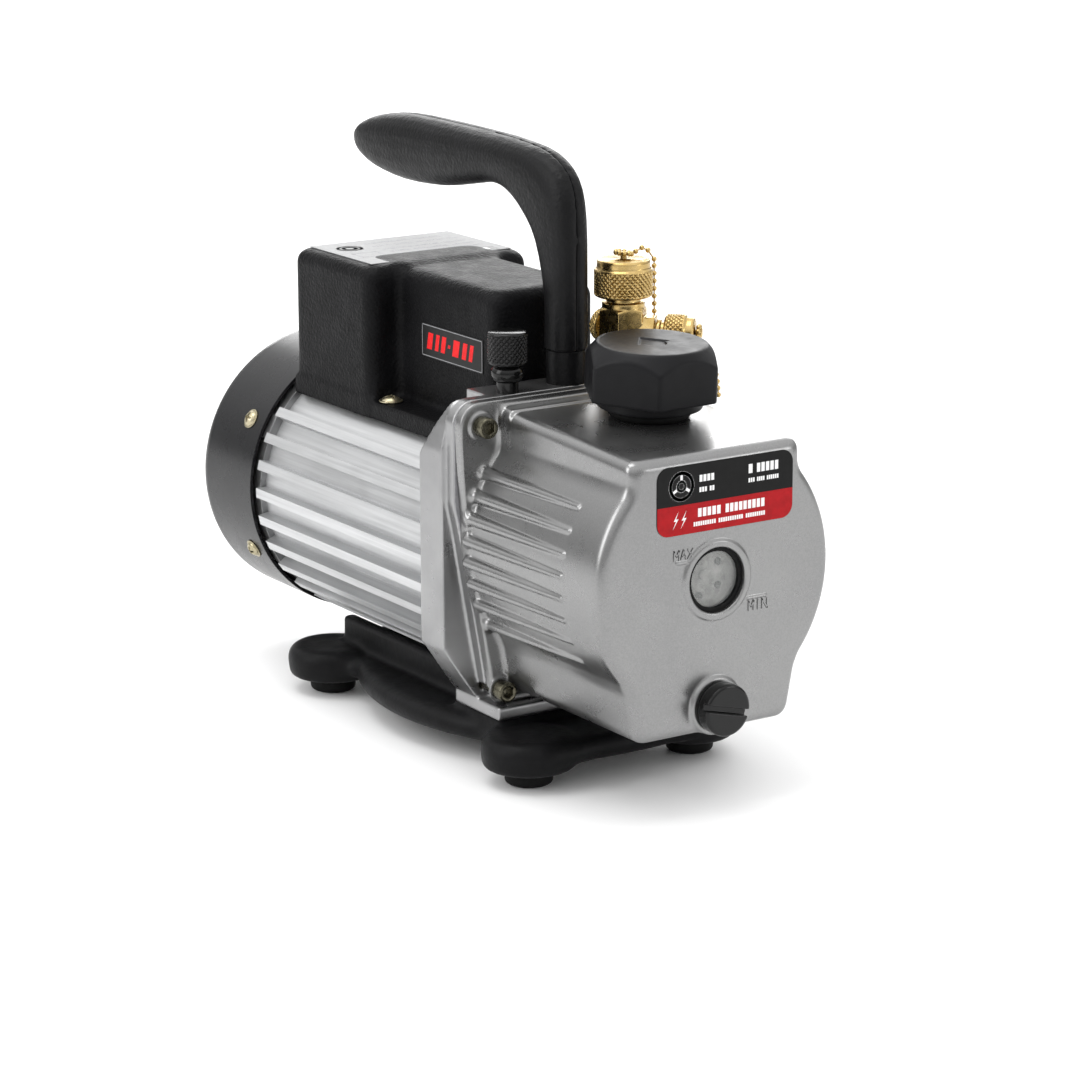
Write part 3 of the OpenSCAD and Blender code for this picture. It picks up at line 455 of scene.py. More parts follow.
def dress_cad_nodes(finishes):
    for finish, names in NODE_FINISH.items():
        for name in names.split():
            node = frame["nodes"][name]
            node.data.materials.clear()
            node.data.materials.append(finishes[finish])
            shade_smooth(node.data)
            keep_crisp(node, 32)


# ------------------ shapes by distance, in millimetres

def soft_min(a, b, k):
    h = np.maximum(k - np.abs(a - b), 0) / k
    return np.minimum(a, b) - h * h * k * 0.25


def soft_max(a, b, k):
    return -soft_min(-a, -b, k)


def soft_all(k, *parts):
    total = parts[0]
    for part in parts[1:]:
        total = soft_max(total, part, k)
    return total


def slab(v, low, high):
    return np.maximum(low - v, v - high)


def rod(p, centre, axis, radius, low=-1e3, high=1e3):
    """Straight cylinder along axis 0, 1 or 2 from low to high."""
    a, b = [i for i in range(3) if i != axis]
    round_ = np.hypot(p[:, a] - centre[a], p[:, b] - centre[b]) - radius
    return np.maximum(round_, slab(p[:, axis], low, high))


def capsule(p, start, stop, r0, r1):
    """Rounded cone between two points."""
    start, stop = np.array(start, float), np.array(stop, float)
    way = stop - start
    t = np.clip((p - start) @ way / (way @ way), 0, 1)
    return np.linalg.norm(p - start - t[:, None] * way, axis=1) - (r0 + (r1 - r0) * t)


def surface(name, distance, low, high, pitch):
    """Meshes the zero level of a distance function by surface nets, every vertex on the surface."""
    step = 4
    low = np.array(low, float) - 2 * pitch
    count = np.ceil((np.array(high, float) + 2 * pitch - low) / pitch).astype(int)
    count = (count + step - 1) // step * step + 1
    axes = [low[i] + pitch * np.arange(count[i]) for i in range(3)]
    rough = np.stack(np.meshgrid(*[a[::step] for a in axes], indexing="ij"), -1)
    coarse = distance(rough.reshape(-1, 3)).reshape(rough.shape[:3])
    nearest = np.ix_(*[(np.arange(n) + step // 2) // step for n in count])
    field = coarse[nearest].astype(np.float32)
    active = np.argwhere(np.abs(field) < 5 * pitch)
    for part in np.array_split(active, max(1, len(active) // 400000)):
        field[tuple(part.T)] = distance(low + pitch * part)
    inside = field < 0
    corners = [(i, j, k) for i in (0, 1) for j in (0, 1) for k in (0, 1)]
    size = [n - 1 for n in count]
    views = [inside[i:i + size[0], j:j + size[1], k:k + size[2]] for i, j, k in corners]
    mixed = np.logical_or.reduce(views) & ~np.logical_and.reduce(views)
    cells = np.argwhere(mixed)
    values = np.stack([field[tuple((cells + c).T)] for c in np.array(corners)], 1)
    spots = np.zeros((len(cells), 3))
    hits = np.zeros(len(cells))
    for a in range(8):
        for b in range(a + 1, 8):
            if sum(abs(u - v) for u, v in zip(corners[a], corners[b])) != 1:
                continue
            cross = (values[:, a] < 0) != (values[:, b] < 0)
            t = values[cross, a] / (values[cross, a] - values[cross, b])
            start, way = np.array(corners[a]), np.array(corners[b]) - np.array(corners[a])
            spots[cross] += start + t[:, None] * way
            hits[cross] += 1
    points = low + pitch * (cells + spots / hits[:, None])
    for _ in range(2):
        value = distance(points)
        slope = np.stack([distance(points + e) - distance(points - e) for e in np.eye(3) * 0.02], 1) / 0.04
        points -= slope * (np.clip(value, -pitch, pitch) / np.maximum((slope ** 2).sum(1), 0.3))[:, None]
    index = np.full(size, -1, np.int64)
    index[tuple(cells.T)] = np.arange(len(cells))
    quads = []
    for axis in range(3):
        ahead = np.roll(inside, -1, axis)
        flips = inside != ahead
        flips[tuple(slice(-1, None) if i == axis else slice(None) for i in range(3))] = False
        edge = np.argwhere(flips)
        u, v = np.eye(3, dtype=int)[(axis + 1) % 3], np.eye(3, dtype=int)[(axis + 2) % 3]
        ring = [index[tuple((edge - o).T)] for o in (0 * u, u, u + v, v)]
        face = np.stack(ring, 1)
        flip = ~inside[tuple(edge.T)]
        face[flip] = face[flip][:, ::-1]
        quads.append(face)
    quads = np.concatenate(quads)
    return make_mesh(name, points * MM, quads)


def make_mesh(name, points, quads):
    """Smooth-shaded object from points in metres and an array of quads or triangles."""
    sides = quads.shape[1]
    mesh = bpy.data.meshes.new(name)
    mesh.vertices.add(len(points))
    mesh.vertices.foreach_set("co", np.asarray(points, np.float32).ravel())
    mesh.loops.add(quads.size)
    mesh.loops.foreach_set("vertex_index", quads.astype(np.int32).ravel())
    mesh.polygons.add(len(quads))
    mesh.polygons.foreach_set("loop_start", np.arange(0, quads.size, sides, dtype=np.int32))
    shade_smooth(mesh)
    mesh.update(calc_edges=True)
    mesh.validate()
    return show(name, mesh)


def close_holes(piece):
    """Caps the open ends of a revolved mesh."""
    shape = bmesh.new()
    shape.from_mesh(piece.data)
    bmesh.ops.holes_fill(shape, edges=[e for e in shape.edges if e.is_boundary], sides=0)
    shape.to_mesh(piece.data)
    shape.free()
    return piece


def add_on(piece, body, finish):
    piece.data.materials.clear()
    piece.data.materials.append(finish)
    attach(piece, body)
    return piece


def stand_in(piece, node, finish):
    """Gives a finished piece the CAD node's place on its body."""
    add_on(piece, frame["nodes"][node]["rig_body"], finish)
    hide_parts(node)
    return piece


# ------------------ oil cover

# middle of the raised oil level lines, highest and lowest, as (x, z)
LEVEL_LINES = ((-12.8, 92.1), (16.8, 75.5))


def make_oil_cover(finish):
    low, high = box_mm("oil_cover")
    glass_low, glass_high = box_mm("sight_glass")
    heads_low, heads_high = box_mm("cover_screws")
    front = box_mm("front_label")[1][1]
    flange_back = high[1]
    flange = flange_back - 4.5
    top, flange_w, flange_z = high[2] - 3.4, high[0], high[2]
    slope = math.tan(ROOF_TILT)
    barrel_r, barrel_w, barrel_z = 51.7, 49.2, 84.5
    glass_z, glass_r = (glass_low[2] + glass_high[2]) / 2, (glass_high[2] - glass_low[2]) / 2
    plug_z = middle_mm("drain_plug")[2]
    fill = middle_mm("fill_cap_seal")
    wall, pump_room_r, plug_hole_r, screw_hole_r = 3.6, 30.5, 6.05, 2.6
    upper = (heads_high[0] - SOCKET_HEAD_R, heads_high[2] - SOCKET_HEAD_R)
    lower = (LOWER_SCREW_X, heads_low[2] + SOCKET_HEAD_R)

    def core(p):
        wide, y, z = np.abs(p[:, 0]), p[:, 1], p[:, 2]
        column = np.maximum(wide - 36, (wide - 36 - (z - 50) * 0.194) * 0.982)
        barrel = np.hypot(wide + barrel_r - barrel_w, z - barrel_z) - barrel_r
        side = soft_min(column, barrel, 2.5)
        roof = (z - top + (flange - y) * slope) * math.cos(ROOF_TILT)
        return soft_all(4.5, side, roof, low[2] + 4.4 - z, front - y)

    def flange_plate(p):
        wide, y, z = np.abs(p[:, 0]), p[:, 1], p[:, 2]
        sides = soft_max(wide - flange_w, (wide - 49.9 - (z - 88) * 0.181) * 0.984, 6)
        plan = soft_max(soft_max(sides, z - flange_z, 10), low[2] - z, 6)
        return soft_max(plan, slab(y, flange, flange_back), 0.7)

    def ribs(p):
        mirrored = np.column_stack([np.abs(p[:, 0]), p[:, 1], p[:, 2]])
        total = np.full(len(p), 50.0)
        for i in range(8):
            z = 111 - 7.85 * i
            x = barrel_w - barrel_r + math.sqrt(barrel_r ** 2 - (z - barrel_z) ** 2)
            out = np.array([math.cos(math.asin((z - barrel_z) / barrel_r)), (z - barrel_z) / barrel_r])
            root = np.array([x, z]) + out * 0.5
            tip = np.array([x, z]) - out * 0.35
            rib = capsule(mirrored, (root[0], flange, root[1]), (tip[0], -111, tip[1]), 2.2, 1.05)
            total = np.minimum(total, rib)
        return total

    def distance(p):
        wide = np.abs(p[:, 0])
        mirrored = np.column_stack([wide, p[:, 1], p[:, 2]])
        body = np.maximum(core(p), p[:, 1] - flange_back)
        rim = soft_max(np.maximum(core(p) - 0.9, p[:, 1] - flange - 1), flange - 6.5 - p[:, 1], 1.0)
        rim = soft_max(rim, soft_max(115 - p[:, 2], wide - 36.5, 2), 2)
        solid = soft_min(body, rim, 0.8)
        solid = soft_min(solid, ribs(p), 0.7)
        solid = soft_min(solid, flange_plate(p), 2.6)
        for x, z in (upper, lower):
            spotface = soft_max(rod(mirrored, (x, 0, z), 1, 5.0), slab(p[:, 1], flange - 0.7, flange), 0.5)
            solid = soft_min(solid, spotface, 0.6)
        boss = soft_max(rod(p, (0, 0, glass_z), 1, 14.2), slab(p[:, 1], front - 0.8, front + 2), 0.9)
        solid = soft_min(solid, boss, 0.9)
        boss = soft_max(rod(p, (0, 0, plug_z), 1, 10.4), slab(p[:, 1], front - 1.2, front + 2), 0.9)
        solid = soft_min(solid, boss, 1.2)
        for x, z in LEVEL_LINES:
            line = soft_all(0.4, np.abs(p[:, 0] - x) - 4.6, np.abs(p[:, 2] - z) - 0.45,
                            slab(p[:, 1], front - 0.5, front + 1))
            solid = soft_min(solid, line, 0.3)
        hollow = core(p) + wall
        solid = soft_max(solid, -hollow, 1.5)
        pump_room = rod(p, (0, 0, SHAFT_Z), 1, pump_room_r, flange - 1)
        solid = np.maximum(solid, -pump_room)
        for x, z in (upper, lower):
            solid = np.maximum(solid, -rod(mirrored, (x, 0, z), 1, screw_hole_r))
        scoop = capsule(mirrored, (lower[0], flange - 5.5, lower[1]), (lower[0], flange - 13, lower[1]), 5, 5)
        solid = soft_max(solid, -scoop, 1.2)
        solid = soft_max(solid, -rod(p, (0, 0, glass_z), 1, glass_r, -1e3, front + 6), 0.8)
        solid = soft_max(solid, -rod(p, (0, 0, plug_z), 1, plug_hole_r, -1e3, front + 6), 0.4)
        tilted = np.column_stack([p[:, 0], p[:, 1] + (p[:, 2] - fill[2]) * slope, p[:, 2]])
        return np.maximum(solid, -rod(tilted, (fill[0], fill[1], 0), 2, 12, 118, 150))

    casting = stand_in(surface("oil_cover_casting", distance, low, high, 0.5), "oil_cover", finish)
    ease = casting.modifiers.new("ease", "SMOOTH")
    ease.factor = 0.5
    ease.iterations = 1


# ------------------ electrical box

def make_junction_box(finish):
    low, high = box_mm("junction_box")
    inlet, switch, selector = map(middle_mm, ("power_inlet", "switch_bezel", "voltage_selector"))
    screws_low, screws_high = box_mm("box_screws")
    nose_w, wide_w, top, ledge = -box_mm("side_badge")[1][0], high[0], high[2], 120
    step, nose_y, back = 37.5, low[1], high[1]
    wall, motor_r = 2.5, 48.7
    screw = (screws_high[0] - BOX_SCREW_R, (screws_low[1] + screws_high[1]) / 2)

    def outside(p, inset=0.0, k=6.0):
        wide, y, z = np.abs(p[:, 0]), p[:, 1], p[:, 2]
        head = soft_all(k, wide - wide_w + inset, slab(y, step + inset, back - inset), z - top + inset)
        nose = soft_all(k, wide - nose_w + inset, slab(y, nose_y + inset, step + 20), z - top + 0.6 + inset)
        return soft_min(head, nose, 4)

    def distance(p):
        wide, y, z = np.abs(p[:, 0]), p[:, 1], p[:, 2]
        mirrored = np.column_stack([wide, y, z])
        foot = soft_all(1.6, wide - wide_w, slab(y, nose_y, back), z - ledge)
        foot = soft_max(foot, soft_max(wide - wide_w, nose_y - y, 8), 1)
        solid = soft_min(outside(p), foot, 2.6)
        solid = np.maximum(solid, 113 - z)
        hollow = outside(p, wall, 3.0)
        solid = soft_max(solid, -hollow, 1)
        solid = np.maximum(solid, motor_r - np.hypot(p[:, 0], z - SHAFT_Z))
        dish = soft_max(rod(mirrored, (screw[0], screw[1], 0), 2, 5.3), slab(z, 119.7, 124), 0.4)
        solid = soft_max(solid, -dish, 0.8)
        for centre, half_w, half_h in ((inlet, 13.9, 10.4), (switch, 7.6, 11.6), (selector, 6.5, 3.6)):
            window = np.maximum(np.abs(p[:, 0] - centre[0]) - half_w, np.abs(z - centre[2]) - half_h)
            solid = soft_max(solid, -np.maximum(window, back - 4 - y), 0.5)
        return solid

    stand_in(surface("junction_box_shell", distance, low, high, 0.8), "junction_box", finish)


# ------------------ oil fill cap and drain plug

def make_fill_cap(finish):
    low, high = box_mm("oil_fill_cap")
    base = middle_mm("fill_cap_seal") - np.array([0, -math.sin(ROOF_TILT), math.cos(ROOF_TILT)]) * 1.9
    flat, rise = math.cos(ROOF_TILT), math.sin(ROOF_TILT)
    turn = np.array([[1, 0, 0], [0, flat, rise], [0, -rise, flat]])
    corner_r, start = 25.4, 32.3

    def distance(p):
        q = (p - base) @ turn.T
        x, y, z = q.T
        round_ = np.hypot(x, y)
        flats = [x * math.cos(a) + y * math.sin(a) for a in (math.radians(start + 60 * i) for i in range(6))]
        hexagon = flats[0]
        for flat in flats[1:]:
            hexagon = soft_max(hexagon, flat, 1.0)
        hexagon = hexagon - corner_r * math.cos(math.pi / 6)
        cone = (round_ - corner_r + (z - 20) * 0.879) * 0.751
        head = soft_all(0.7, hexagon, cone, slab(z, 7.5, 26.6))
        skirt = soft_max(round_ - 18.8, slab(z, 3.8, 8.5), 0.6)
        stem = soft_max(round_ - 10.8, slab(z, -8, 6), 0.6)
        solid = soft_min(np.minimum(head, skirt), stem, 0.3)
        drop = np.hypot(x, y + 1.5) - 4.2
        tip = np.maximum(np.abs(x) * 0.8 + (y + 1.5) * 0.6 - 5.2, -y - 1.5)
        icon = soft_max(np.minimum(drop, tip), 26.1 - z, 0.1)
        return soft_max(solid, -icon, 0.3)

    stand_in(surface("oil_fill_cap_moulding", distance, low, high, 0.42), "oil_fill_cap", finish)


def make_drain_plug(finish):
    low, high = box_mm("drain_plug")
    x, _, z = middle_mm("drain_plug")
    radius, under = high[0] - x, low[1] + 5.8

    def distance(p):
        round_ = np.hypot(p[:, 0] - x, p[:, 2] - z)
        head = soft_max(round_ - radius, slab(p[:, 1], low[1], under), 1.3)
        stem = soft_max(round_ - 5.9, slab(p[:, 1], under - 1, high[1]), 0.6)
        a = math.radians(-14)
        across = np.abs((p[:, 0] - x) * math.sin(a) - (p[:, 2] - z) * math.cos(a)) - 1.15
        slot = np.maximum(across, p[:, 1] - low[1] - 2.6)
        turns = np.arctan2(p[:, 2] - z, p[:, 0] - x) / (2 * math.pi)
        thread = 0.25 * np.abs(((p[:, 1] + turns * 1.5) / 1.5) % 1 - 0.5)
        return soft_max(soft_min(head, stem + thread, 0.3), -slot, 0.5)

    stand_in(surface("drain_plug_moulding", distance, low, high, 0.3), "drain_plug", finish)


# ------------------ base

def make_base(finish):
    low, high = box_mm("base")
    foot_x, foot_y = box_mm("rubber_feet")[1][:2] - FOOT_R
    pad_r, top, under = 16.6, 17, 8

    def distance(p):
        wide, long_, z = np.abs(p[:, 0]), np.abs(p[:, 1]), p[:, 2]
        pad = np.hypot(wide - foot_x, long_ - foot_y) - pad_r
        lens_x = np.maximum(np.hypot(wide + 52, p[:, 1]) - 101.5, long_ - 78)
        lens_y = np.maximum(np.hypot(p[:, 0], long_ + 70) - 156, wide - foot_x)
        middle = np.minimum(lens_x, lens_y)
        plan = soft_min(middle, pad, 12)
        deck = soft_max(plan, slab(z, under, top), 5.5)
        pads = soft_max(soft_max(pad, z - top - 1, 6), 6 - z, 3)
        solid = soft_min(deck, pads, 2.5)
        web = soft_all(1.6, np.abs(wide - 27) - 2.5, slab(p[:, 1], -24, 71), slab(z, 12, 28))
        bridge = soft_all(1.6, wide - 27, slab(p[:, 1], 66, 71), slab(z, 12, 20))
        block = soft_all(2.2, wide - 38, slab(p[:, 1], -57.5, -23.5), slab(z, 12, 20))
        solid = soft_min(solid, np.minimum(np.minimum(web, bridge), block), 3)
        solid = np.maximum(solid, z - 28)
        mirrored = np.column_stack([wide, p[:, 1], z])
        solid = np.maximum(solid, -rod(mirrored, (25, -46, 0), 2, 3))
        return np.maximum(solid, -rod(mirrored, (25, -46, 0), 2, 6, -5, 13))

    stand_in(surface("base_moulding", distance, low, high, 0.95), "base", finish)


# ------------------ turned pieces

def turn_profile(name, profile, place, sides=96, knurl=None):
    """Revolves (radius, height) points in millimetres; knurl is (low, high, depth, count) on the outer wall.
    place maps local +Z onto the piece's axis."""
    fine = [profile[0][:2]]
    for (r0, z0), (r1, z1) in zip([q[:2] for q in profile], [q[:2] for q in profile[1:]]):
        cuts = max(1, math.ceil(abs(z1 - z0) / 0.22)) if knurl else 1
        fine += [(r0 + (r1 - r0) * i / cuts, z0 + (z1 - z0) * i / cuts) for i in range(1, cuts + 1)]
    radius = np.array([r for r, _ in fine])[:, None]
    height = np.array([z for _, z in fine])[:, None]
    angle = np.linspace(0, 2 * math.pi, sides, endpoint=False)[None, :]
    if any(len(q) == 3 for q in profile):
        six = math.cos(math.pi / 6) / np.cos((angle % (math.pi / 3)) - math.pi / 6)
        hexed = np.array([len(q) == 3 for q in profile])[:, None]
        radius = np.where(hexed, radius * six, radius * np.ones_like(angle))
    if knurl:
        low, high, depth, count = knurl
        outer = radius.max()
        pitch = 2 * math.pi * outer / count
        lean = height / pitch
        wave = [np.abs(((angle * count / (2 * math.pi) + s * lean) % 1) - 0.5) * 2 for s in (1, -1)]
        cut = np.maximum(*[np.clip((w - 0.62) / 0.38, 0, 1) for w in wave])
        fade = np.clip(np.minimum(height - low, high - height) / 0.35, 0, 1) * (radius > outer - 0.3)
        radius = radius - depth * cut * fade
    rings = len(fine)
    x, y = radius * np.cos(angle), radius * np.sin(angle)
    points = np.stack([x, y, np.broadcast_to(height, x.shape)], -1).reshape(-1, 3)
    i, j = np.meshgrid(np.arange(rings - 1), np.arange(sides), indexing="ij")
    after = (j + 1) % sides
    above = (i + 1) * sides
    quads = np.stack([i * sides + j, i * sides + after, above + after, above + j], -1).reshape(-1, 4)
    points = (np.c_[points, np.ones(len(points))] @ np.array(place).T)[:, :3]
    piece = close_holes(make_mesh(name, points * MM, quads))
    keep_crisp(piece, 50)
    return piece


def upright(spot, axis=(0, 0, 1)):
    """Matrix that puts local +Z along axis at a spot in millimetres."""
    turn = Vector(axis).to_track_quat("Z", "X").to_matrix().to_4x4()
    return Matrix.Translation(Vector(spot)) @ turn


def cap_profile(r, bore, bore_h, band, crown):
    top = band + crown
    return [
        (0.01, bore_h), (bore, bore_h), (bore, 0.4), (bore + 0.4, 0), (r - 0.9, 0), (r - 0.2, 0.5),
        (r, 0.9), (r, band - 0.5), (r - 0.25, band), (r - 0.8, band + 0.45), (r - 0.95, band + 0.8),
        (r - 1.0, top - 0.9), (r - 1.3, top - 0.3),
        (r - 2.0, top), (1.3, top), (1.1, top + 0.2), (1.1, top + 1.5), (1.5, top + 1.6), (1.9, top + 1.9),
        (1.9, top + 2.3), (1.5, top + 2.6), (0.01, top + 2.6),
    ]


SIDE_WAY = (math.sqrt(0.5), -math.sqrt(0.5), 0)


def make_intake_caps(finish):
    low, high = box_mm("intake_cap_top")
    middle = middle_mm("intake_cap_top")
    radius = (high[0] - low[0]) / 2
    big = turn_profile("intake_cap_top_turned", cap_profile(radius, 6.65, 10.2, 10, 3.6),
                       upright((middle[0], middle[1], low[2])), 288, (0.9, 9.6, 0.65, 34))
    stand_in(big, "intake_cap_top", finish)
    port = np.array([middle[0], middle[1], middle_mm("intake_cap_rear")[2]])
    small = cap_profile(6.4, 3.45, 6.7, 7.5, 3.4)
    side = turn_profile("intake_cap_side_turned", small, upright(port + 15.5 * np.array(SIDE_WAY), SIDE_WAY),
                        216, (0.9, 7.1, 0.5, 22))
    stand_in(side, "intake_cap_side", finish)
    plug = [(0.01, 2.7), (3.45, 2.7), (3.45, 0), (5.6, 0), (6.2, 0.3), (6.4, 0.7), (6.4, 3.2),
            (6.1, 3.5), (5.4, 3.8), (5.2, 4.1), (4.6, 4.3), (0.01, 4.3)]
    rear = turn_profile("intake_cap_rear_turned", plug, upright(port + np.array([0, 9.15, 0]), (0, 1, 0)),
                        216, (0.7, 3.2, 0.45, 27))
    stand_in(rear, "intake_cap_rear", finish)
    return port


def make_ballast_knob(finish):
    x, y, _ = middle_mm("gas_ballast_knob")
    low = box_mm("gas_ballast_knob")[0]
    bulb = [(2.6 + 3.3 * math.cos(a), 2.7 + 3.4 * math.sin(a)) for a in map(math.radians, range(-50, 55, 10))]
    head = [(4.4, 6), (6.3, 6), (6.9, 6.3), (7.15, 6.9), (7.15, 16.9), (6.9, 17.5), (6.3, 17.8), (0.01, 17.8)]
    piece = turn_profile("gas_ballast_knob_turned", [(2.05, 0.1), (2.6, 0.0)] + bulb + head,
                         upright((x, y, low[2])), 240, (6.9, 17.1, 0.6, 22))
    stand_in(piece, "gas_ballast_knob", finish)


def make_tee(finish):
    low, high = box_mm("intake_tee")
    x, y = 24, -42
    tee_low, tee_high = 140.9, 163
    port_z = 153.5
    way = np.array(SIDE_WAY)

    def hexagon(u, v, across, spin):
        flats = [u * math.cos(a) + v * math.sin(a) for a in (math.radians(spin + 60 * i) for i in range(6))]
        return np.max(flats, axis=0) - across

    def distance(p):
        u, v, z = p[:, 0] - x, p[:, 1] - y, p[:, 2]
        round_ = np.hypot(u, v)
        block = hexagon(u, v, 7.9, 15)
        chamfer = (round_ - 8.6 + (z - tee_high + 1.4) * 1.4) * 0.58
        block = soft_all(0.5, block, slab(z, tee_low, tee_high), chamfer)
        collar = soft_max(round_ - 7.8, slab(z, tee_high - 1, tee_high + 1.1), 0.5)
        neck = soft_max(round_ - 6.2, slab(z, tee_high, 176), 0.4)
        foot = soft_max(round_ - 5.45, slab(z, 125, 142), 0.4)
        solid = np.minimum(np.minimum(block, collar), np.minimum(neck, foot))
        along = u * way[0] + v * way[1]
        across = u * way[1] - v * way[0]
        lift = z - port_z
        nut = soft_max(hexagon(across, lift, 5.4, 30), slab(along, 2, 12), 0.4)
        tube = soft_max(np.hypot(across, lift) - 3.4, slab(along, 2, 22), 0.3)
        bead = soft_max(np.hypot(across, lift) - 4.3, slab(along, 12.4, 14.0), 0.5)
        rear = soft_max(np.hypot(u, lift) - 3.4, slab(v, 2, 11), 0.3)
        solid = np.minimum(np.minimum(solid, nut), np.minimum(np.minimum(tube, bead), rear))
        return np.maximum(solid, -np.maximum(round_ - 3, tee_low - 20 - z))

    stand_in(surface("intake_tee_turned", distance, low, high, 0.36), "intake_tee", finish)


# ------------------ chains

def make_chain(name, beads, finish, radius):
    """Bead chain: hollow beads with a wire between neighbours, merged in one piece."""
    rows, cols = 10, 14
    points, quads = [], []
    for spot in beads:
        start = len(points)
        for i in range(rows + 1):
            a = math.pi * i / rows
            ring = radius * max(math.sin(a), 0.02)
            points += [tuple(spot + np.array([ring * math.cos(b), ring * math.sin(b), radius * math.cos(a)]))
                       for b in (2 * math.pi * j / cols for j in range(cols))]
        quads += [(start + i * cols + j, start + (i + 1) * cols + j,
                   start + (i + 1) * cols + (j + 1) % cols, start + i * cols + (j + 1) % cols)
                  for i in range(rows) for j in range(cols)]
    for first, second in zip(beads, beads[1:]):
        way = Vector(second - first)
        if way.length > 5:
            continue
        turn = upright(first, way)
        start = len(points)
        for h in (0, way.length):
            points += [tuple(turn @ Vector((0.3 * math.cos(b), 0.3 * math.sin(b), h)))
                       for b in (2 * math.pi * j / 8 for j in range(8))]
        quads += [(start + j, start + (j + 1) % 8, start + 8 + (j + 1) % 8, start + 8 + j) for j in range(8)]
    piece = close_holes(make_mesh(name, np.array(points) * MM, np.array(quads)))
    piece.data.materials.append(finish)
    return piece


def make_chains(port, finish):
    stud_z = box_mm("intake_cap_top")[1][2] - 1.3
    a = math.radians(-8)
    out = np.array([math.cos(a), math.sin(a), 0])
    side = np.array([-out[1], out[0], 0])
    axis = np.array([port[0], port[1], 0])
    up = np.array([0, 0, 1])
    hang = 12.4
    loop = [axis + 2.9 * (out * math.cos(t) + side * math.sin(t))
            + up * (stud_z + 0.3 + 0.9 * math.sin(t * 0.5))
            for t in np.radians(np.arange(20, 380, 38))]
    arc = [axis + out * (4.9 + (hang - 4.9) * t) + up * (stud_z + 1.0 - 3.4 * t + 2.6 * math.sin(math.pi * t))
           for t in np.linspace(0, 1, 4)]
    fall = [axis + out * (hang + 0.3 * t) + up * (stud_z - 2.4 - (stud_z - 2.4 - 148.2) * t)
            for t in np.linspace(0.08, 1, 11)]
    chain = make_chain("cap_chain_top_beads", loop + arc + fall, finish, 0.98)
    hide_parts("cap_chain_top")
    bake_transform(chain)
    tip = port + 27.4 * np.array(SIDE_WAY)
    level = np.array([0.707, 0.707, 0])
    loop = [tip + np.array([1.0, -1.0, 0]) * 0.3 + 2.2 * (up * math.cos(t) + level * math.sin(t))
            for t in np.radians(np.arange(200, 520, 46))]
    fall = [tip + np.array([0.9, -0.9, -3.1]) * (1 - t) + np.array([6.5, -4, -23]) * t
            + np.array([1.6, -0.6, 0]) * math.sin(math.pi * t) for t in np.linspace(0, 1, 9)]
    chain = make_chain("cap_chain_side_beads", loop + fall, finish, 0.98)
    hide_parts("cap_chain_side")
    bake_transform(chain)


# ------------------ screws

def copies(name, seed, places):
    """One piece made of copies of a small part, each moved by a matrix in millimetres."""
    count = len(seed.data.vertices)
    spots = np.empty(count * 3, np.float32)
    seed.data.vertices.foreach_get("co", spots)
    spots = np.c_[spots.reshape(-1, 3) / MM, np.ones(count)]
    points = np.concatenate([(spots @ np.array(place).T)[:, :3] for place in places]) * MM
    faces = [[v + count * i for v in face.vertices]
             for i in range(len(places)) for face in seed.data.polygons]
    bpy.data.objects.remove(seed)
    mesh = bpy.data.meshes.new(name)
    mesh.from_pydata(points.tolist(), [], faces)
    shade_smooth(mesh)
    piece = show(name, mesh)
    keep_crisp(piece, 40)
    return piece


def pan_head(r, shank, length):
    """Pan head screw with a cross recess and a plain washer."""
    high = 2.3
    ball = (r * r + high * high) / (2 * high)

    def distance(p):
        round_ = np.hypot(p[:, 0], p[:, 1])
        dome = np.sqrt(round_ ** 2 + (p[:, 2] + ball - high) ** 2) - ball
        head = soft_all(0.5, round_ - r, dome, 0.4 - p[:, 2])
        washer = soft_max(round_ - r - 0.3, slab(p[:, 2], 0, 0.5), 0.2)
        body = np.maximum(round_ - shank, slab(p[:, 2], -length, 1))
        arm = r * 0.55
        cross = np.minimum(np.maximum(np.abs(p[:, 0]) - 0.42, np.abs(p[:, 1]) - arm),
                           np.maximum(np.abs(p[:, 1]) - 0.42, np.abs(p[:, 0]) - arm))
        cut = np.maximum(cross, 0.9 - p[:, 2])
        return soft_max(np.minimum(np.minimum(head, washer), body), -cut, 0.15)

    return surface("seed", distance, (-r - 0.5, -r - 0.5, -length), (r + 0.5, r + 0.5, high), 0.2)


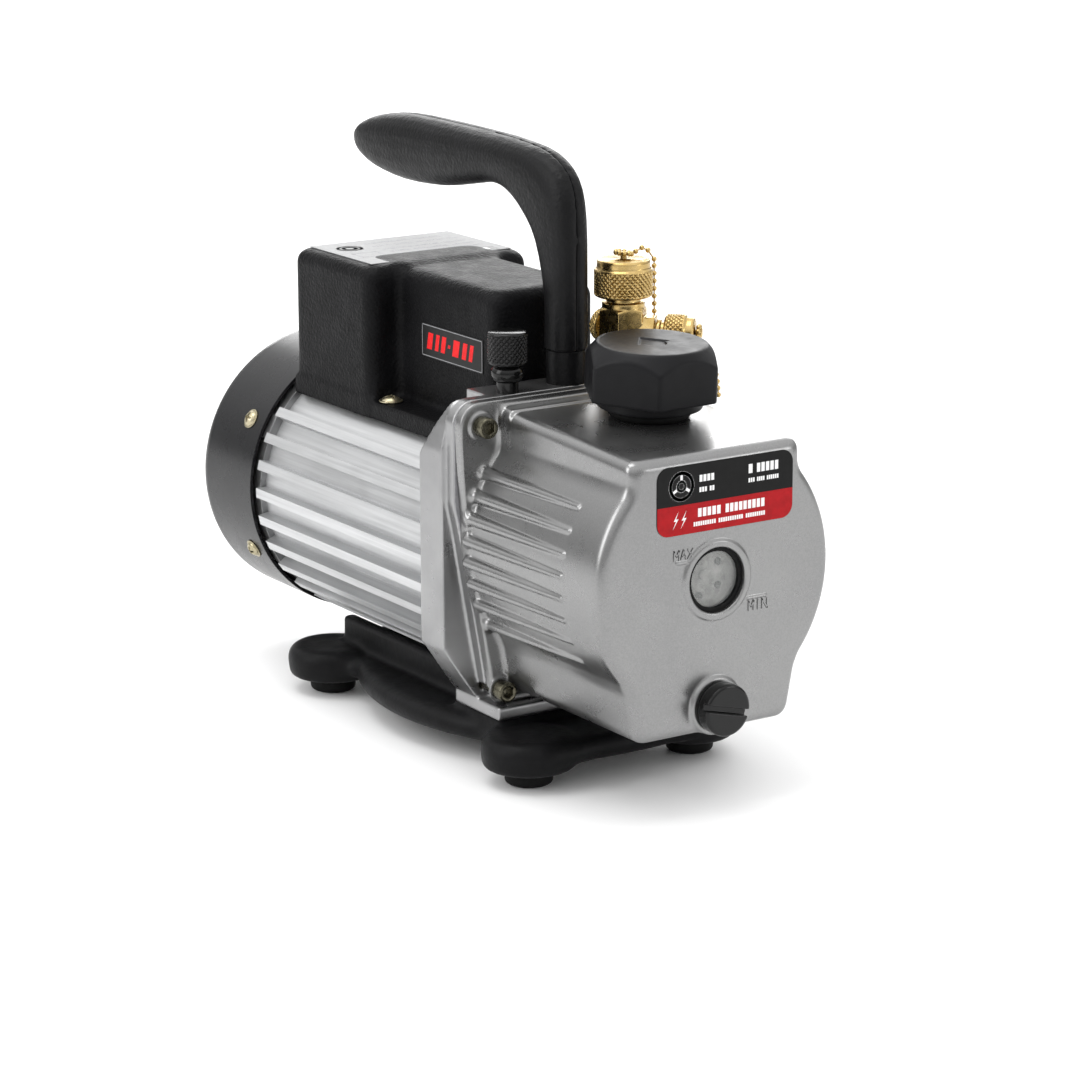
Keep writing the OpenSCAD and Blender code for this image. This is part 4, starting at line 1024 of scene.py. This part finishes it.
def make_screws(finishes):
    low, high = box_mm("cover_screws")
    seat = low[1] + 5
    socket = [
        (0.01, -14), (2.1, -14), (2.5, -13.5), (2.5, 0), (SOCKET_HEAD_R, 0), (SOCKET_HEAD_R, 4.55),
        (3.6, 4.85), (3.3, 5), (2.5, 5), (2.31, 4.8, "hex"), (2.31, 2.3, "hex"), (0.01, 2.1),
    ]
    head = turn_profile("seed", socket, Matrix.Identity(4), 96)
    corners = ((high[0] - SOCKET_HEAD_R, high[2] - SOCKET_HEAD_R), (LOWER_SCREW_X, low[2] + SOCKET_HEAD_R))
    spots = [(s * x, seat, z) for s in (-1, 1) for x, z in corners]
    stand_in(copies("cover_screws_turned", head, [upright(v, (0, -1, 0)) for v in spots]), "cover_screws",
             finishes["bronze_steel"])
    y, reach = middle_mm("fan_cover_screws")[1], 53.7
    ways = [(math.cos(a), 0, math.sin(a)) for a in (math.radians(v) for v in (29, 151, 209, 331))]
    places = [upright((reach * w[0], y, SHAFT_Z + reach * w[2]), w) for w in ways]
    screws = copies("fan_cover_screws_turned", pan_head(3.6, 1.9, 7), places)
    stand_in(screws, "fan_cover_screws", finishes["zinc_steel"])
    low, high = box_mm("box_screws")
    x, y = high[0] - BOX_SCREW_R, (low[1] + high[1]) / 2
    places = [upright((s * x, y, high[2] - 2.3)) for s in (-1, 1)]
    screws = copies("box_screws_turned", pan_head(BOX_SCREW_R, 1.6, 5.4), places)
    stand_in(screws, "box_screws", finishes["zinc_steel"])


# ------------------ printing, level marks and sight glass

def flat_shapes(name, shapes, place, thick, finish):
    """Thin closed plates from 2D outlines in millimetres, on the pump's body; place maps (u, v, outward)
    into the frame."""
    points, faces = [], []
    for shape in shapes:
        n, start = len(shape), len(points)
        points += [tuple(place @ Vector((u, v, h)) * MM) for h in (0, thick) for u, v in shape]
        faces += [list(range(start + n - 1, start - 1, -1)), list(range(start + n, start + 2 * n))]
        faces += [[start + i, start + (i + 1) % n, start + n + (i + 1) % n, start + n + i] for i in range(n)]
    mesh = bpy.data.meshes.new(name)
    mesh.from_pydata(points, [], faces)
    mesh.validate()
    add_on(show(name, mesh), "pump_body", finish)


def bar(x, y, w, h, lean=0.0):
    return [(x, y), (x + w, y), (x + w + lean, y + h), (x + lean, y + h)]


def words(x, y, lengths, h, space, lean=0.0):
    """A line of plain strokes that stands in for print."""
    shapes = []
    for length in lengths:
        count = max(1, round(length / (0.62 * h)))
        step = length / count
        shapes += [bar(x + i * step, y, step * 0.74, h, lean) for i in range(count)]
        x += length + space
    return shapes


def stroke(x0, y0, x1, y1, t):
    way = Vector((x1 - x0, y1 - y0)).normalized() * t / 2
    return [(x0 - way.x + way.y, y0 - way.y - way.x), (x1 + way.x + way.y, y1 + way.y - way.x),
            (x1 + way.x - way.y, y1 + way.y + way.x), (x0 - way.x - way.y, y0 - way.y + way.x)]


def round_rect(x0, y0, x1, y1, corners):
    """Rectangle with its own radius at each corner, from the lower left round."""
    shape = []
    spots = ((x0, y0, 1, 1, 180), (x1, y0, -1, 1, 270), (x1, y1, -1, -1, 0), (x0, y1, 1, -1, 90))
    for (x, y, dx, dy, a), r in zip(spots, corners):
        turns = [math.radians(a + 15 * i) for i in range(7)] if r else [math.radians(a)]
        shape += [(x + dx * r + r * math.cos(t), y + dy * r + r * math.sin(t)) for t in turns]
    return shape


def ring_shapes(x, y, r, t, n=32):
    """Circle outline as short plates."""
    spots = [(x + r * math.cos(2 * math.pi * i / n), y + r * math.sin(2 * math.pi * i / n)) for i in range(n)]
    return [stroke(*spots[i], *spots[(i + 1) % n], t) for i in range(n)]


def bolt(x, y, h):
    """Generic lightning bolt."""
    outline = ((0.62, 1), (0.1, 0.46), (0.36, 0.46), (0, 0), (0.62, 0.58), (0.34, 0.58))
    return [(x + u * h * 0.62, y + v * h) for u, v in outline]


def make_front_print(finishes):
    low, high = box_mm("front_label")
    place = Matrix(((1, 0, 0, 0), (0, 0, -1, low[1]), (0, 1, 0, 0), (0, 0, 0, 1)))
    x0, x1, z0, z1 = low[0], high[0], low[2], high[2]
    middle = z0 + 0.43 * (z1 - z0)
    red = [round_rect(x0 + 0.05, z0 + 0.05, x1 - 0.05, middle, (4.5, 4.5, 0, 0))]
    flat_shapes("front_label_red", red, place, 0.03, finishes["red_film"])
    ink = ring_shapes(x0 + 10, middle + 6.6, 4.6, 1.3) + ring_shapes(x0 + 10, middle + 6.6, 1.6, 1.0, 16)
    ink += [stroke(x0 + 10 + 2 * math.cos(a), middle + 6.6 + 2 * math.sin(a),
                   x0 + 10 + 4.4 * math.cos(a), middle + 6.6 + 4.4 * math.sin(a), 1.0)
            for a in (math.radians(90 + 120 * i) for i in range(3))]
    ink += words(x0 + 17.5, middle + 7.2, (6.5,), 2.4, 1)
    ink += words(x0 + 17.5, middle + 3.6, (3.4, 2.2), 1.7, 0.9)
    ink += words(x1 - 19, middle + 7.4, (2.2, 9.6), 3.2, 1.3)
    ink += words(x1 - 19, middle + 4.2, (2.8, 3.4, 5.2), 1.5, 0.8)
    ink += [bolt(x0 + 6.5, z0 + 2.2, 6.2), bolt(x0 + 9.8, z0 + 2.2, 6.2)]
    ink += words(x0 + 17, z0 + 5.4, (10, 17), 3, 1.6) + words(x0 + 15.2, z0 + 2.3, (9.5, 10.5, 8.4), 1.5, 1.0)
    lifted = place @ Matrix.Translation((0, 0, 0.03))
    flat_shapes("front_label_ink", ink, lifted, 0.03, finishes["white_ink"])


def make_side_print(finishes):
    low, high = box_mm("side_badge")
    place = Matrix(((0, 0, -1, low[0]), (-1, 0, 0, 0), (0, 1, 0, 0), (0, 0, 0, 1)))
    u0, u1, z0, z1 = -high[1], -low[1], low[2], high[2]
    inset, line = 0.35, 0.3
    wide, tall = u1 - u0 - 2 * inset, z1 - z0 - 2 * inset
    rim = [bar(u0 + inset, z0 + inset, wide, line), bar(u0 + inset, z1 - inset - line, wide, line),
           bar(u0 + inset, z0 + inset, line, tall), bar(u1 - inset - line, z0 + inset, line, tall)]
    flat_shapes("side_badge_rim", rim, place, 0.03, finishes["grey_ink"])
    mark = words(u0 + 3.6, z0 + 3.2, (4.6, 3.2, 3.8), 6.2, 0.9, 1.3)
    mark += words(u0 + 18.2, z0 + 5.6, (1.8,), 1.3, 0.8, 0.3)
    mark += words(u0 + 21.2, z0 + 3.2, (5.6, 3.8, 3.2), 6.2, 0.9, 1.3)
    flat_shapes("side_badge_mark", mark, place, 0.03, finishes["red_ink"])


def make_top_print(finishes):
    low, high = box_mm("rating_label")
    place = Matrix(((1, 0, 0, 0), (0, 1, 0, 0), (0, 0, 1, high[2]), (0, 0, 0, 1)))
    x0, y0 = low[:2]
    strip = [bar(x0 + 34, y0 + 1.5, 24, 6.2)]
    flat_shapes("rating_label_strip", strip, place, 0.02, finishes["black_film"])
    lines = (
        (12, 2.6, (5, 9, 5), 3.2, 1.4), (20, 13, (12, 8, 14), 1.8, 1.6), (20, 18.5, (9, 15, 10), 1.8, 1.6),
        (20, 24, (16, 7, 11), 1.8, 1.6), (20, 31, (8, 8, 18), 2.4, 1.8), (20, 37.5, (20, 12), 2.4, 1.8),
    )
    ink = [shape for x, y, *text in lines for shape in words(x0 + x, y0 + y, *text)]
    ink += ring_shapes(x0 + 10, y0 + 33, 4.6, 1.2) + ring_shapes(x0 + 10, y0 + 33, 2.4, 1.6, 20)
    ink += [stroke(x0 + 5, y, x0 + 15, y, 0.7) for y in (y0 + 14, y0 + 22)]
    ink += [stroke(x, y0 + 14, x, y0 + 22, 0.7) for x in (x0 + 5, x0 + 15)]
    flat_shapes("rating_label_ink", ink, place, 0.02, finishes["grey_ink"])
    white = words(x0 + 36.5, y0 + 2.8, (4.5, 5.5, 6), 3.6, 1.2)
    lifted = place @ Matrix.Translation((0, 0, 0.02))
    flat_shapes("rating_label_white", white, lifted, 0.02, finishes["white_ink"])


LETTERS = {
    "M": ((0, 0, 0, 1), (0, 1, 0.5, 0.4), (0.5, 0.4, 1, 1), (1, 1, 1, 0)),
    "A": ((0, 0, 0.5, 1), (0.5, 1, 1, 0), (0.22, 0.36, 0.78, 0.36)),
    "X": ((0, 0, 1, 1), (0, 1, 1, 0)),
    "I": ((0.5, 0, 0.5, 1),),
    "N": ((0, 0, 0, 1), (0, 1, 1, 0), (1, 0, 1, 1)),
}


def make_level_marks(finish):
    """Raised highest and lowest oil level words beside the sight glass."""
    front = box_mm("front_label")[1][1]
    place = Matrix(((1, 0, 0, 0), (0, 0, -1, front + 0.2), (0, 1, 0, 0), (0, 0, 0, 1)))
    (x_high, z_high), (x_low, z_low) = LEVEL_LINES
    shapes = []
    for word, x, z in (("MAX", x_high - 5.2, z_high + 1.3), ("MIN", x_low - 3, z_low - 4.5)):
        for i, letter in enumerate(word):
            shapes += [stroke(x + 2.9 * i + 2.1 * a, z + 3.2 * b, x + 2.9 * i + 2.1 * c, z + 3.2 * d, 0.42)
                       for a, b, c, d in LETTERS[letter]]
    flat_shapes("level_marks", shapes, place, 0.55, finish)


def make_sight_dish(finishes):
    x, _, z = middle_mm("sight_glass")
    back = box_mm("sight_glass")[1][1] + 3.6
    dish = [(0.01, -0.6), (11.2, -0.6), (11.4, 3.2), (10.8, 3.2), (10.0, 2.2), (7.8, 1.1), (4.5, 0.3),
            (1.8, 0), (1.6, 0.8), (0.01, 0.9)]
    place = upright((x, back, z), (0, -1, 0))
    add_on(turn_profile("sight_glass_dish", dish, place, 96), "pump_body", finishes["reflector"])
    dot = [(0.01, -0.2), (1.5, -0.2), (1.5, 0.25), (1.2, 0.4), (0.01, 0.4)]
    spot = turn_profile("seed", dot, Matrix.Identity(4), 32)
    around = [place @ Matrix.Translation((7.4 * math.cos(a), 7.4 * math.sin(a), 0.95))
              for a in np.radians(np.arange(18, 378, 72))]
    add_on(copies("sight_glass_dish_spots", spot, around), "pump_body", finishes["black_film"])


# ------------------ pieces smoothed from the CAD solids

def soften_node(name, node, finish, voxel, passes):
    """Copies a CAD solid, remeshes it and rounds its edges as a mould or casting would."""
    piece = show(name, frame["nodes"][node].data.copy())
    remesh = piece.modifiers.new("remesh", "REMESH")
    remesh.mode = "VOXEL"
    remesh.voxel_size = voxel * MM
    smooth = piece.modifiers.new("smooth", "SMOOTH")
    smooth.factor = 0.5
    smooth.iterations = passes
    graph = bpy.context.evaluated_depsgraph_get()
    mesh = bpy.data.meshes.new_from_object(piece.evaluated_get(graph))
    piece.modifiers.clear()
    piece.data = mesh
    shade_smooth(mesh)
    return stand_in(piece, node, finish)


def main():
    make_camera()
    make_stage()
    finishes = make_finishes()
    dress_cad_nodes(finishes)
    make_oil_cover(finishes["silver_paint"])
    make_junction_box(finishes["box_plastic"])
    make_fill_cap(finishes["cap_plastic"])
    make_drain_plug(finishes["gloss_plastic"])
    make_base(finishes["base_plastic"])
    port = make_intake_caps(finishes["brass"])
    make_ballast_knob(finishes["gloss_plastic"])
    make_tee(finishes["brass"])
    make_chains(port, finishes["brass"])
    make_screws(finishes)
    make_front_print(finishes)
    make_side_print(finishes)
    make_top_print(finishes)
    make_level_marks(finishes["silver_paint"])
    make_sight_dish(finishes)
    for side in ("left", "right"):
        soften_node(f"handle_{side}_moulding", f"handle_{side}", finishes["grip_plastic"], 0.7, 8)
    soften_node("bell_housing_casting", "bell_housing", finishes["cast_aluminium"], 0.6, 2)
    soften_node("rubber_feet_moulding", "rubber_feet", finishes["rubber"], 0.5, 4)


main()
